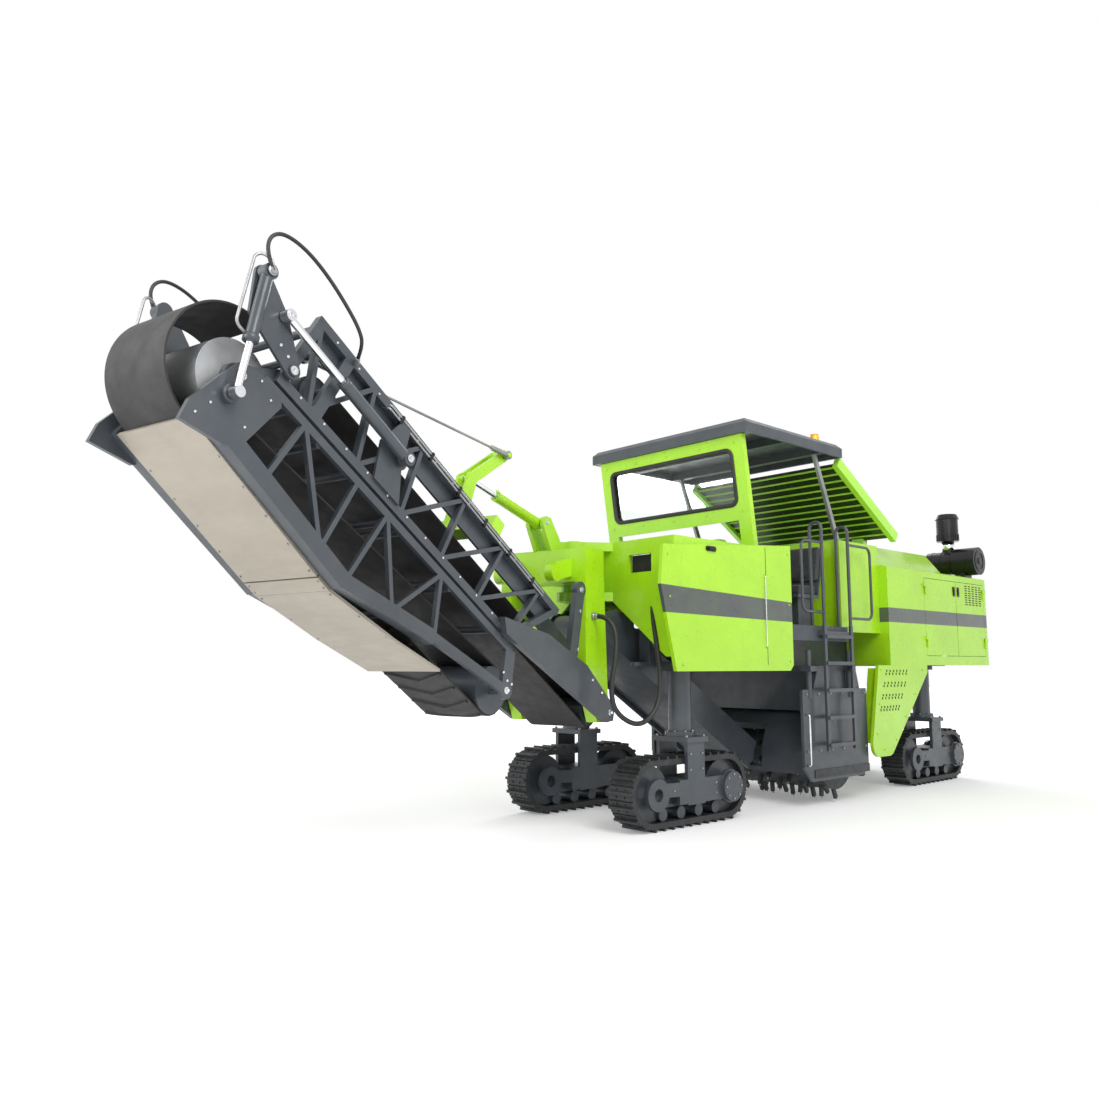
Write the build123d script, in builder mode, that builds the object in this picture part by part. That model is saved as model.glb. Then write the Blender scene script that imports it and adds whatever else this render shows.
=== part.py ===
from build123d import *
from math import atan2, cos, degrees, hypot, pi, radians, sin
import os

# Two-metre cold planer on four steered crawlers, front-loading, discharge conveyor folded.
# Working axes: +X forward, +Y left, +Z up; x = 0 under the milling drum's axis, y = 0 on the centreline,
# z = 0 on the ground. Every node is moved at the end so that the origin is the middle of the footprint.

# ---- crawlers ----
track_length = 1800
track_height = 690
track_width = 300
shoe_count = 32
shoe_thickness = 20
grouser_height = 28
grouser_width = 26
chain_depth = 34
gauge = 1500
front_axle_x = 2450
rear_axle_x = -2640
yoke_length = 260
yoke_plate = 42
yoke_top = 860
yoke_top_plate = 50
side_gap = 8            # crawler frame to the shoes beside it
column_radius = 115
column_top = 1900
sleeve_wall = 50
seat_gap = 0.3          # between round faces that turn or slide on each other

# ---- chassis and body ----
rail_y = 440            # inner face of a chassis rail
rail_width = 140
rail_bottom = 1550
rail_top = 1950
chassis_rear = -3700
chassis_front = 2700
body_half_width = 1180
skin = 40
deck_thickness = 50
deck_rear = -140
deck_front = 1440
panel_bottom = 1500
panel_top = 2800
panel_rear = 1060
panel_nose_low = 2990
panel_nose_high = 3200
hood_front = -1040
hood_rear = -3870
hood_bottom = 1560
hood_top = 2800
hood_step_front = -150
hood_step_rear = -2950
hood_step_top = 3100
tank_top = 3040
tank_half_width = 1060
door_seam_front = -2000
door_seam_middle = -2920
door_seam_rear = -3790
door_low = 1680
door_high = hood_top - 100
panel_gap = 6

# ---- canopy ----
roof_front = 1770
roof_rear = -150
roof_half_width = 1150
roof_bottom = 4020
roof_thickness = 160
roof_ribs = (240, 1000, 1680)

# ---- milling drum ----
drum_z = 520
drum_core_radius = 370
drum_tip_radius = 490
drum_length = 2000
drum_shaft_radius = 100
tool_rows = 16
tool_starts = 4
housing_clear = 30
housing_side_clear = 10
housing_wall = 50
side_plate_low = 290
side_plate_high = 1290
side_plate_rear = -560
side_plate_y = 1084
side_plate_thickness = 34

# ---- slewed discharge conveyor, in its own upright plane: u forward from the slew axis, z up ----
slew_x = 3200
slew_angle = 13
belt_angle = 33
foot = (240, 1110)          # luff pin
fold = (4450, 3320)         # fold pin between the two sections
head = (1770, 1350)         # discharge drum of the folded outer section
frame_w = 440               # inner face of the side frames
frame_bar = 60
belt_width = 640
belt_thickness = 14
belt_pulley = 130
head_radius = 200
moving_gap = 6

box_mid_x = 2053.9
box_mid_y = 201.5


def side_plane(y):
    """Upright plane along the machine: local x is forward, local y is up."""
    return Plane(origin=(0, y, 0), x_dir=(1, 0, 0), z_dir=(0, -1, 0))


def belt_plane(w):
    """Upright plane along the slewed conveyor, w to its left: local x is u, local y is up."""
    turn = radians(slew_angle)
    origin = (slew_x - w * sin(turn), w * cos(turn), 0)
    return Plane(origin=origin, x_dir=(cos(turn), sin(turn), 0), z_dir=(sin(turn), -cos(turn), 0))


def along(point, angle, distance, rise=0):
    """The point moved by a distance along an angle in the upright plane, and by a rise square to it."""
    a = radians(angle)
    return (point[0] + distance * cos(a) - rise * sin(a), point[1] + distance * sin(a) + rise * cos(a))


def span(a, b):
    return hypot(b[0] - a[0], b[1] - a[1])


def slope(a, b):
    return degrees(atan2(b[1] - a[1], b[0] - a[0]))


def between(a, b, share):
    return (a[0] + (b[0] - a[0]) * share, a[1] + (b[1] - a[1]) * share)


def bar(a, b, width, end=0):
    """Flat bar drawn between two points of the sketch, made longer by end at both ends."""
    with Locations(Location((*between(a, b, 0.5), 0), (0, 0, slope(a, b)))):
        Rectangle(span(a, b) + 2 * end, width)


def zigzag(low_a, low_b, high_a, high_b, count, width):
    """Lattice bars between a low and a high chord, each bar from one chord to the other."""
    stops = []
    for i in range(count + 1):
        chord = (low_a, low_b) if i % 2 == 0 else (high_a, high_b)
        stops.append(between(chord[0], chord[1], i / count))
    for a, b in zip(stops, stops[1:]):
        bar(a, b, width)


def rod_solid(plane, a, b, radius):
    """Round bar between two points of an upright plane."""
    start = plane.from_local_coords(Vector(a[0], a[1], 0))
    end = plane.from_local_coords(Vector(b[0], b[1], 0))
    with BuildSketch(Plane(origin=start, z_dir=end - start)) as disc:
        Circle(radius)
    extrude(disc.sketch, amount=(end - start).length)


def cross_bar(plane_at, point, radius, w_from, w_to):
    """Round bar across an upright plane, from one distance out to another."""
    with BuildSketch(plane_at(w_from)) as disc:
        with Locations(point):
            Circle(radius)
    extrude(disc.sketch, amount=w_from - w_to)


def tube(points, radius, bend):
    """Bent round tube along points of the machine."""
    with BuildLine() as path:
        FilletPolyline(*points, radius=bend)
    line = path.line
    with BuildSketch(Plane(origin=line @ 0, z_dir=line % 0)) as disc:
        Circle(radius)
    sweep(disc.sketch, path=line)


def save(node, part):
    part = part.moved(Location((-box_mid_x, -box_mid_y, 0)))
    part.label = node
    export_step(part, f"parts/{node}.step")


# ---- crawler units ----
track_straight = track_length - track_height
shoe_path_radius = track_height / 2 - grouser_height - shoe_thickness / 2
loop_inner_radius = shoe_path_radius - shoe_thickness / 2 - chain_depth
track_axis_z = track_height / 2


def loop_place(distance):
    """Place on the shoe path: along the ground to the front, round, back over the top, round."""
    half_turn = pi * shoe_path_radius
    x = track_straight / 2
    if distance < track_straight:
        return (distance - x, -shoe_path_radius, 180)
    distance -= track_straight
    if distance < half_turn:
        a = distance / shoe_path_radius - pi / 2
        return (x + shoe_path_radius * cos(a), shoe_path_radius * sin(a), degrees(a) - 90)
    distance -= half_turn
    if distance < track_straight:
        return (x - distance, shoe_path_radius, 0)
    a = (distance - track_straight) / shoe_path_radius + pi / 2
    return (-x + shoe_path_radius * cos(a), shoe_path_radius * sin(a), degrees(a) - 90)


def make_track_loop(x=0, y=0):
    pitch = (2 * track_straight + 2 * pi * shoe_path_radius) / shoe_count
    with BuildPart() as loop:
        with BuildSketch(side_plane(y)):
            with Locations((x, track_axis_z)):
                SlotCenterToCenter(track_straight, 2 * shoe_path_radius)
            for i in range(shoe_count):
                px, pz, turn = loop_place((i + 0.5) * pitch)
                with Locations(Location((x + px, track_axis_z + pz, 0), (0, 0, turn))):
                    Rectangle(pitch * 0.93, shoe_thickness)
                    with Locations((0, (shoe_thickness + grouser_height) / 2 - 1)):
                        Rectangle(grouser_width, grouser_height + 2)
            with Locations((x, track_axis_z)):
                SlotCenterToCenter(track_straight, 2 * loop_inner_radius, mode=Mode.SUBTRACT)
        extrude(amount=track_width / 2, both=True)
    return loop.part


def make_track_frame(x=0, y=0, out=1):
    """Left crawler frame with yoke, idler, motor housing, rollers and leg column."""
    wheel_radius = loop_inner_radius - seat_gap
    half = track_straight / 2
    yoke_y = track_width / 2 + side_gap
    with BuildPart() as frame:
        with BuildSketch(side_plane(y)):
            with Locations((x + half, track_axis_z), (x - half, track_axis_z)):
                Circle(wheel_radius)
            with Locations((x, track_axis_z - 20)):
                Rectangle(track_straight, 250)
        extrude(amount=75, both=True)
        with BuildSketch(side_plane(y)):
            with Locations((x, track_axis_z)):
                Rectangle(yoke_length + 200, 240)
        extrude(amount=yoke_y + 1, both=True)
        for side in (-1, 1):
            with BuildSketch(side_plane(y + side * (yoke_y + yoke_plate / 2))):
                with Locations((x, (yoke_top + track_axis_z - 130) / 2)):
                    Rectangle(yoke_length, yoke_top - track_axis_z + 130)
                with Locations((x - 90, track_axis_z)):
                    Rectangle(track_straight * 0.62, 230)
                with Locations((x - half + 20, track_axis_z)):
                    Circle(165)
                bar((x, track_axis_z + 20), (x + half, track_axis_z + 40), 130)
                with Locations((x + half, track_axis_z)):
                    Circle(150)
                with Locations((x + half, track_axis_z)):
                    Circle(60, mode=Mode.SUBTRACT)
            extrude(amount=yoke_plate / 2, both=True)
        with BuildSketch(side_plane(y + out * (yoke_y + yoke_plate))):
            with Locations((x - half + 20, track_axis_z)):
                Circle(150)
        extrude(amount=-out * 45)
        with BuildSketch(Plane.XY.offset(yoke_top - yoke_top_plate)):
            with Locations((x, y)):
                Rectangle(yoke_length + 60, 2 * (yoke_y + yoke_plate) + 50)
        extrude(amount=yoke_top_plate)
        with BuildSketch(side_plane(y)):
            for i in range(4):
                with Locations((x + (i - 1.5) * track_straight * 0.24, track_axis_z - wheel_radius + 60)):
                    Circle(60)
        extrude(amount=110, both=True)
        with BuildSketch(Plane.XY.offset(yoke_top)):
            with Locations((x, y)):
                Circle(column_radius + 35)
        extrude(amount=45)
        with BuildSketch(Plane.XY.offset(yoke_top)):
            with Locations((x, y)):
                Circle(column_radius)
        extrude(amount=column_top - yoke_top)
    return frame.part


# ---- chassis ----
sleeve_bottom = 1500


def make_chassis():
    """The two rails, with a lashing eye at each end."""
    middle_y = rail_y + rail_width / 2
    lug_ends = ((chassis_rear, -lug_reach), (chassis_front + 30, lug_reach))
    with BuildPart() as chassis:
        with BuildSketch(Plane.XY.offset(rail_bottom)):
            for side in (-1, 1):
                with Locations(((chassis_front + chassis_rear) / 2, side * middle_y)):
                    Rectangle(chassis_front - chassis_rear, rail_width)
        extrude(amount=rail_top - rail_bottom)
        with BuildSketch(Plane.XY.offset(rail_bottom)):
            for side in (-1, 1):
                for end, reach in lug_ends:
                    with Locations((end, side * middle_y)):
                        SlotCenterToCenter(2 * lug_reach, 2 * lug_radius)
                    with Locations((end + reach, side * middle_y)):
                        Circle(lug_bore, mode=Mode.SUBTRACT)
        extrude(amount=lug_thickness)
    return chassis.part


def make_chassis_beams():
    """Beams between the rails, behind the drum and under the engine, and posts under the front box."""
    with BuildPart() as beams:
        with BuildSketch(Plane.XY.offset(rail_bottom)):
            for beam_x in (-900, -1700, -3100, chassis_rear + 80):
                with Locations((beam_x, 0)):
                    Rectangle(160, 2 * rail_y)
        extrude(amount=140)
        with BuildSketch(Plane.XY.offset(rail_top)):
            for side in (-1, 1):
                with Locations((chassis_front - 50, side * (rail_y + rail_width / 2)),
                               (front_box_rear + 80, side * (rail_y + rail_width / 2))):
                    Rectangle(100, rail_width)
        extrude(amount=front_box_bottom - rail_top)
    return beams.part


def make_leg_sleeves():
    """Sleeves beside the rails in which the leg columns turn."""
    rail_out = rail_y + rail_width
    with BuildPart() as sleeves:
        for leg_x in (front_axle_x, rear_axle_x):
            with BuildSketch(Plane.XY.offset(rail_bottom)):
                for side in (-1, 1):
                    with Locations((leg_x, side * (rail_out + gauge / 2) / 2)):
                        Rectangle(300, gauge / 2 - rail_out)
            extrude(amount=rail_top - rail_bottom)
            with BuildSketch(Plane.XY.offset(sleeve_bottom)):
                with Locations((leg_x, gauge / 2), (leg_x, -gauge / 2)):
                    Circle(column_radius + sleeve_wall)
            extrude(amount=rail_top - sleeve_bottom)
            with BuildSketch(Plane.XY.offset(sleeve_bottom)):
                with Locations((leg_x, gauge / 2), (leg_x, -gauge / 2)):
                    Circle(column_radius + seat_gap)
            extrude(amount=rail_top - sleeve_bottom, mode=Mode.SUBTRACT)
    return sleeves.part


lug_reach = 90
lug_radius = 60
lug_bore = 32
lug_thickness = 40

# ---- front box that carries the slewing turret ----
front_box_front = 2960
front_box_rear = 1450
front_box_bottom = 2200
front_box_top = 2800
slew_hub_radius = 120
nose_plate = 90


def make_front_box():
    inner_y = body_half_width - skin
    with BuildPart() as box:
        with BuildSketch(Plane.XY.offset(front_box_bottom)):
            with Locations(((front_box_front + front_box_rear) / 2, 0)):
                Rectangle(front_box_front - front_box_rear, 2 * inner_y)
        extrude(amount=front_box_top - front_box_bottom)
        with BuildSketch(Plane.XY.offset(front_box_bottom + skin)):
            with Locations(((front_box_front + front_box_rear) / 2 - skin, 0)):
                Rectangle(front_box_front - front_box_rear, 2 * (inner_y - skin))
        extrude(amount=front_box_top - front_box_bottom - 2 * skin, mode=Mode.SUBTRACT)
        with BuildSketch(Plane.YZ.offset(front_box_front)):   # hose opening in the front wall
            with Locations((700, 2560)):
                Rectangle(300, 180)
        extrude(amount=-2 * skin, mode=Mode.SUBTRACT)
        for side in (-1, 1):                                  # gussets down the side panels
            with BuildSketch(Plane.YZ.offset(front_box_front)):
                with BuildLine():
                    Polyline((side * 320, front_box_bottom + 1), (side * inner_y, front_box_bottom + 1),
                             (side * inner_y, 1640), (side * (inner_y - 120), 1640), close=True)
                make_face()
            extrude(amount=-30)
        for z, up in ((front_box_top, -1), (front_box_bottom, 1)):     # nose plates round the slew pin
            with BuildSketch(Plane.XY.offset(z)):
                with BuildLine():
                    Polyline((front_box_front - 1, 330), (front_box_front - 1, -330), (slew_x, -170),
                             (slew_x, 170), close=True)
                make_face()
                with Locations((slew_x, 0)):
                    Circle(170)
            extrude(amount=up * nose_plate)
        with BuildSketch(Plane.XY.offset(front_box_bottom)):
            with Locations((slew_x, 0)):
                Circle(60 + seat_gap)
        extrude(amount=nose_plate, mode=Mode.SUBTRACT)
        with BuildSketch(Plane.XY.offset(front_box_top)):
            with Locations((slew_x, 0)):
                Circle(60 + seat_gap)
        extrude(amount=-nose_plate, mode=Mode.SUBTRACT)
    return box.part


# ---- slewing turret: portal that carries the conveyor foot and the luff cylinder ----
post_w_in = 380
post_w_out = 500
post_u_rear = 220
post_u_front = 550
luff_foot = (620, 2930)
luff_eye = (1660, 3200)


def make_turret():
    with BuildPart() as turret:
        with BuildSketch(Plane.XY.offset(front_box_bottom + nose_plate + moving_gap)):
            with Locations((slew_x, 0)):
                Circle(slew_hub_radius)
        extrude(amount=front_box_top - front_box_bottom - 2 * nose_plate - 2 * moving_gap)
        with BuildSketch(Plane.XY.offset(front_box_bottom - 20)):          # slew pin through both nose plates
            with Locations((slew_x, 0)):
                Circle(60)
        extrude(amount=front_box_top - front_box_bottom + 40)
        with BuildSketch(belt_plane(0)):                                   # neck from the hub to the head beam
            with Locations(((post_u_rear + 60) / 2 + 20, 2500)):
                Rectangle(post_u_rear + 10, 300)
        extrude(amount=110, both=True)
        with BuildSketch(belt_plane(0)):                                   # head beam across both posts
            with Locations(((post_u_rear + post_u_front) / 2, 2510)):
                Rectangle(post_u_front - post_u_rear, 320)
        extrude(amount=post_w_out, both=True)
        for side in (-1, 1):
            middle = side * (post_w_in + post_w_out) / 2
            with BuildSketch(belt_plane(middle)):
                with BuildLine():
                    Polyline((post_u_rear, 2400), (post_u_front, 2400), (post_u_front, 1480),
                             (foot[0] + 120, foot[1] - 90), (foot[0] - 110, foot[1] - 90),
                             (post_u_rear - 60, foot[1] + 160), close=True)
                make_face()
                with Locations(foot):
                    Circle(45 + seat_gap, mode=Mode.SUBTRACT)
            extrude(amount=(post_w_out - post_w_in) / 2, both=True)
            with BuildSketch(belt_plane(side * 300)):                      # forward arms with round lugs
                bar((500, 2500), (800, 2430), 170)
                with Locations((800, 2420)):
                    Circle(85)
            extrude(amount=45, both=True)
            with BuildSketch(belt_plane(side * 85)):                       # clevis of the luff cylinder
                with BuildLine():
                    Polyline((post_u_rear + 80, 2660), (post_u_front, 2660), (luff_foot[0] + 60, 2900),
                             (luff_foot[0] + 60, 2930), (luff_foot[0] - 60, 2990), close=True)
                make_face()
                with Locations(luff_foot):
                    Circle(65)
            extrude(amount=20, both=True)
        cross_bar(belt_plane, luff_foot, 30, -100, 100)
    return turret.part


# ---- conveyor sections ----
def chord(distance, rise):
    """Point in the conveyor's plane: distance along the belt from the fold pin, rise square to it."""
    return along(fold, belt_angle, distance, rise)


inner_low = 210          # centre of the inner section's low chord above the fold pin's line
inner_high = 790
inner_end = -235
outer_near = 115         # outer section's chord beside the inner section
inner_foot_u = 800
rope_low = (1250, 3480)
rope_high = chord(-450, inner_high + 10)
rope_w = 102
rope_pin = 22
rope_bar = 30


def make_inner_frame():
    low_tip = chord(inner_end, inner_low)
    high_tip = chord(inner_end, inner_high)
    low_knee = chord(-3120, inner_low)
    high_foot = chord(-3560, inner_high)
    with BuildPart() as frame:
        for side in (-1, 1):
            with BuildSketch(belt_plane(side * (frame_w + frame_bar / 2))):
                bar(low_knee, low_tip, 70, 30)
                bar(high_foot, high_tip, 70, 30)
                bar(low_tip, high_tip, 70, 34)
                bar(high_foot, low_knee, 60)
                bar(chord(-560, inner_low), chord(-560, inner_high), 90)
                zigzag(low_knee, low_tip, high_foot, high_tip, 11, 36)
            extrude(amount=frame_bar / 2, both=True)
            with BuildSketch(belt_plane(side * (post_w_out + 10 + frame_bar / 2))):     # foot side plate
                with BuildLine():
                    Polyline((foot[0] - 90, foot[1] + 60), (foot[0] - 60, foot[1] - 80), (foot[0] + 60, foot[1] - 90),
                             chord(-3000, inner_low - 60), chord(-2900, inner_low + 40), chord(-3500, inner_high - 300),
                             (inner_foot_u - 160, 1560), (foot[0], foot[1] + 120), close=True)
                make_face()
                with Locations(foot):
                    Circle(70)
                bar((inner_foot_u + 60, 1650), (inner_foot_u - 70, 2250), 120)          # upright lever
                with Locations((inner_foot_u - 70, 2250)):
                    Circle(75)
            extrude(amount=frame_bar / 2, both=True)
            with BuildSketch(belt_plane(side * (frame_w + frame_bar + 5))):              # spacer to the truss
                bar(chord(-3060, inner_low + 10), chord(-2930, inner_low + 10), 70)
            extrude(amount=6, both=True)
            cross_bar(belt_plane, foot, 45, side * (post_w_in - 10), side * (post_w_out + 12))
            with BuildSketch(belt_plane(side * 430)):                                     # hinge arm to the fold pin
                with BuildLine():
                    Polyline(chord(inner_end - 160, inner_low + 30), chord(inner_end + 30, inner_low + 90),
                             chord(60, 40), chord(60, -60), chord(-60, -70), chord(inner_end - 160, inner_low - 40),
                             close=True)
                make_face()
                with Locations(fold):
                    Circle(90)
                with Locations(fold):
                    Circle(40 + seat_gap, mode=Mode.SUBTRACT)
            extrude(amount=19, both=True)
            cross_bar(belt_plane, kite_pin, 38, side * (frame_w + frame_bar - 2), side * (kite_w + kite_plate / 2 + 12))
            with BuildSketch(belt_plane(side * (frame_w + frame_bar + 10))):              # fold cylinder bracket
                with BuildLine():
                    Polyline(chord(-1480, inner_low + 20), chord(-1180, inner_low + 20), chord(-1080, inner_low + 300),
                             chord(-1160, inner_high - 20), chord(-1260, inner_high - 20), chord(-1330, 500),
                             close=True)
                make_face()
                with Locations(fold_foot):
                    Circle(75)
            extrude(amount=12, both=True)
            cross_bar(belt_plane, fold_foot, 30, side * (frame_w + frame_bar), side * (link_w + 42))
        with BuildSketch(belt_plane(0)):                                                   # cross tubes
            for step in range(5):
                with Locations(chord(-460 - step * 640, inner_low)):
                    Circle(rope_bar)
            with Locations(chord(inner_end, inner_high - 60), rope_high):
                Circle(rope_bar)
        extrude(amount=frame_w + 2, both=True)
        with BuildSketch(belt_plane(0)):                                                   # head and tail pulleys
            with Locations(foot, belt_end):
                Circle(belt_pulley - seat_gap)
        extrude(amount=belt_width / 2 + 10, both=True)
        cross_bar(belt_plane, belt_end, 40, -frame_w - 2, frame_w + 2)
        cross_bar(belt_plane, foot, 40, -post_w_in + 6, post_w_in - 6)
    return frame.part


belt_rise = 455                         # belt's middle line above the fold pin's line
carry_rise = belt_rise + belt_pulley - 45
belt_end = chord(-560, belt_rise)


def make_inner_belt():
    with BuildPart() as belt:
        with BuildSketch(belt_plane(0)):
            with Locations(Location((*between(foot, belt_end, 0.5), 0), (0, 0, slope(foot, belt_end)))):
                SlotCenterToCenter(span(foot, belt_end), 2 * (belt_pulley + belt_thickness))
                SlotCenterToCenter(span(foot, belt_end), 2 * belt_pulley, mode=Mode.SUBTRACT)
        extrude(amount=belt_width / 2, both=True)
    return belt.part


hopper_w = 360
hopper_top = 1550


def make_side_boards():
    """Upright boards along both edges of the inner belt, and the feed hopper at its foot."""
    with BuildPart() as boards:
        for side in (-1, 1):
            with BuildSketch(belt_plane(side * (frame_w - 12))):
                with BuildLine():
                    Polyline(chord(-3500, inner_high + 34), chord(inner_end - 60, inner_high + 34),
                             chord(inner_end - 60, carry_rise + 70), chord(-3500, carry_rise + 70), close=True)
                make_face()
                with Locations(rope_high):
                    Circle(rope_bar + seat_gap, mode=Mode.SUBTRACT)
            extrude(amount=11.7, both=True)
            with BuildSketch(belt_plane(side * (hopper_w - 6))):                 # hopper sides
                with BuildLine():
                    Polyline((-50, 1180), (-50, hopper_top), (300, hopper_top + 10), (1320, 2230), (1320, 2010),
                             (280, 1330), (80, 1200), close=True)
                make_face()
            extrude(amount=6, both=True)
            cross_bar(belt_plane, (1240, 2090), 30, side * (hopper_w - 6), side * (frame_w - 12))
        with BuildSketch(belt_plane(0)):                                         # hopper's rear wall
            with Locations((-44, (1180 + hopper_top) / 2)):
                Rectangle(12, hopper_top - 1180)
        extrude(amount=hopper_w, both=True)
    return boards.part


# ---- outer section ----
outer_w = 485
outer_far = -520
outer_head = chord(-3190, outer_near)
cover_width = 780


def make_outer_frame():
    beam_tip = chord(60, -330)
    beam_knee = chord(-1400, -520)
    beam_low = chord(-2350, -330)
    with BuildPart() as frame:
        for side in (-1, 1):
            with BuildSketch(belt_plane(side * outer_w)):
                bar(chord(-150, outer_near), outer_head, 60, 20)
                bar(beam_low, head, 80)
                bar(outer_head, head, 130)
                with Locations(head):
                    Circle(75)
                zigzag(beam_knee, beam_low, chord(-1100, outer_near), chord(-2500, outer_near), 4, 36)
                zigzag(chord(-1100, outer_near), chord(-250, outer_near), beam_knee, chord(-500, -400), 3, 36)
                with BuildLine():
                    Polyline(chord(150, -520), chord(170, -380), chord(110, -120), chord(60, 60), chord(-30, 110),
                             chord(-260, 140), chord(-330, 60), chord(-260, -330), chord(-160, -440), close=True)
                make_face()
            extrude(amount=19, both=True)
            with BuildSketch(belt_plane(side * (outer_w - 38))):                 # broad beam beside the covers
                bar(beam_tip, beam_knee, 120, 10)
                bar(beam_knee, beam_low, 110, 10)
            extrude(amount=57, both=True)
            cross_bar(belt_plane, fold, 40, side * fold_drum_w, side * (outer_w + 25))
            cross_bar(belt_plane, link_eye, 60, side * outer_w, side * (link_w - 45))
        with BuildSketch(belt_plane(0)):
            for place in (chord(-700, outer_near - 20), chord(-1500, outer_near - 20), chord(-2300, outer_near - 20),
                          chord(-400, -405), chord(-1900, -435)):
                with Locations(place):
                    Circle(28)
        extrude(amount=outer_w, both=True)
        with BuildSketch(belt_plane(0)):
            with Locations(head):
                Circle(head_radius - seat_gap)
            with Locations(outer_tail):
                Circle(tail_radius - seat_gap)
        extrude(amount=belt_width / 2 + 20, both=True)
        with BuildSketch(belt_plane(0)):
            with Locations(head, outer_tail):
                Circle(38)
        extrude(amount=outer_w, both=True)
    return frame.part


outer_tail = chord(-210, -215)
tail_radius = 100
fold_drum_w = 405
fold_drum_radius = 255
fold_drum_sheet = 10


def make_outer_belt():
    with BuildPart() as belt:
        with BuildSketch(belt_plane(0)) as outline:
            with Locations(head):
                Circle(head_radius + belt_thickness)
            with Locations(outer_tail):
                Circle(tail_radius + belt_thickness)
            make_hull()
            offset(amount=-belt_thickness, kind=Kind.INTERSECTION, mode=Mode.SUBTRACT)
        extrude(amount=belt_width / 2, both=True)
    return belt.part


def make_fold_drum():
    """Sheet drum round the fold's axis, notched for the outer belt's tail pulley."""
    def notch():
        with Locations(outer_tail):
            Circle(tail_radius + belt_thickness + moving_gap, mode=Mode.SUBTRACT)
    with BuildPart() as drum:
        with BuildSketch(belt_plane(0)):
            with Locations(fold):
                Circle(fold_drum_radius)
                Circle(fold_drum_radius - fold_drum_sheet, mode=Mode.SUBTRACT)
            notch()
        extrude(amount=fold_drum_w, both=True)
        for side in (-1, 1):
            with BuildSketch(belt_plane(side * (fold_drum_w - fold_drum_sheet))):
                with Locations(fold):
                    Circle(fold_drum_radius)
                notch()
            extrude(amount=fold_drum_sheet, both=True)
    return drum.part


# ---- fold linkage on both sides of the conveyor ----
kite_pin = (4090, 3440)
kite_top = (4350, 4000)
kite_eye = (4180, 3770)
fold_foot = (3080, 3040)
link_eye = (4540, 3180)
kite_w = 528
kite_plate = 24
link_w = 585


def make_kites():
    with BuildPart() as kites:
        for side in (-1, 1):
            with BuildSketch(belt_plane(side * kite_w)):
                with Locations(kite_pin, kite_top):
                    Circle(58)
                with Locations((kite_top[0] + 50, kite_top[1] - 260), kite_eye):
                    Circle(40)
                make_hull()
                with Locations(kite_pin):
                    Circle(38 + seat_gap, mode=Mode.SUBTRACT)
            extrude(amount=kite_plate / 2, both=True)
            cross_bar(belt_plane, kite_top, 28, side * kite_w, side * (link_w + 45))
    return kites.part


def ram_barrel(foot_point, eye_point, w, length, radius, bore, pin):
    """Cylinder barrel with its eye on a pin at the foot, bored for the rod."""
    way = slope(foot_point, eye_point)
    plane = belt_plane(w)
    rod_solid(plane, along(foot_point, way, pin + 6), along(foot_point, way, length), radius)
    cross_bar(belt_plane, foot_point, pin + 24, w - 38, w + 38)
    with BuildSketch(belt_plane(w + 40)) as hole:
        with Locations(foot_point):
            Circle(pin + seat_gap)
    extrude(hole.sketch, amount=80, mode=Mode.SUBTRACT)
    start = plane.from_local_coords(Vector(*along(foot_point, way, 90), 0))
    end = plane.from_local_coords(Vector(*along(foot_point, way, length + 1), 0))
    with BuildSketch(Plane(origin=start, z_dir=end - start)) as cut:
        Circle(bore)
    extrude(cut.sketch, amount=(end - start).length, mode=Mode.SUBTRACT)


def ram_rod(foot_point, eye_point, w, length, radius, eye_radius):
    """Cylinder rod with its eye, which stands beside the pin that it would turn on."""
    way = slope(foot_point, eye_point) + 180
    rod_solid(belt_plane(w), eye_point, along(eye_point, way, length), radius)
    cross_bar(belt_plane, eye_point, eye_radius, w - 36, w + 36)


def make_fold_barrels():
    with BuildPart() as barrels:
        for side in (-1, 1):
            ram_barrel(fold_foot, kite_eye, side * link_w, 760, 44, 26 + seat_gap, 30)
    return barrels.part


def make_fold_rods():
    with BuildPart() as rods:
        for side in (-1, 1):
            ram_rod(fold_foot, kite_eye, side * link_w, 660, 26, 40)
    return rods.part


def make_link_barrels():
    with BuildPart() as barrels:
        for side in (-1, 1):
            ram_barrel(kite_top, link_eye, side * link_w, 500, 40, 24 + seat_gap, 28)
    return barrels.part


def make_link_rods():
    with BuildPart() as rods:
        for side in (-1, 1):
            ram_rod(kite_top, link_eye, side * link_w, 410, 24, 38)
    return rods.part


def make_luff_barrel():
    with BuildPart() as barrel:
        ram_barrel(luff_foot, luff_eye, 0, 700, 55, 32 + seat_gap, 30)
    return barrel.part


def make_luff_rod():
    with BuildPart() as rod:
        ram_rod(luff_foot, luff_eye, 0, 735, 32, 46)
    return rod.part


post_foot = chord(-2480, inner_high + 95)
cheek_inner = 42
cheek_outer = 70


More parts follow.
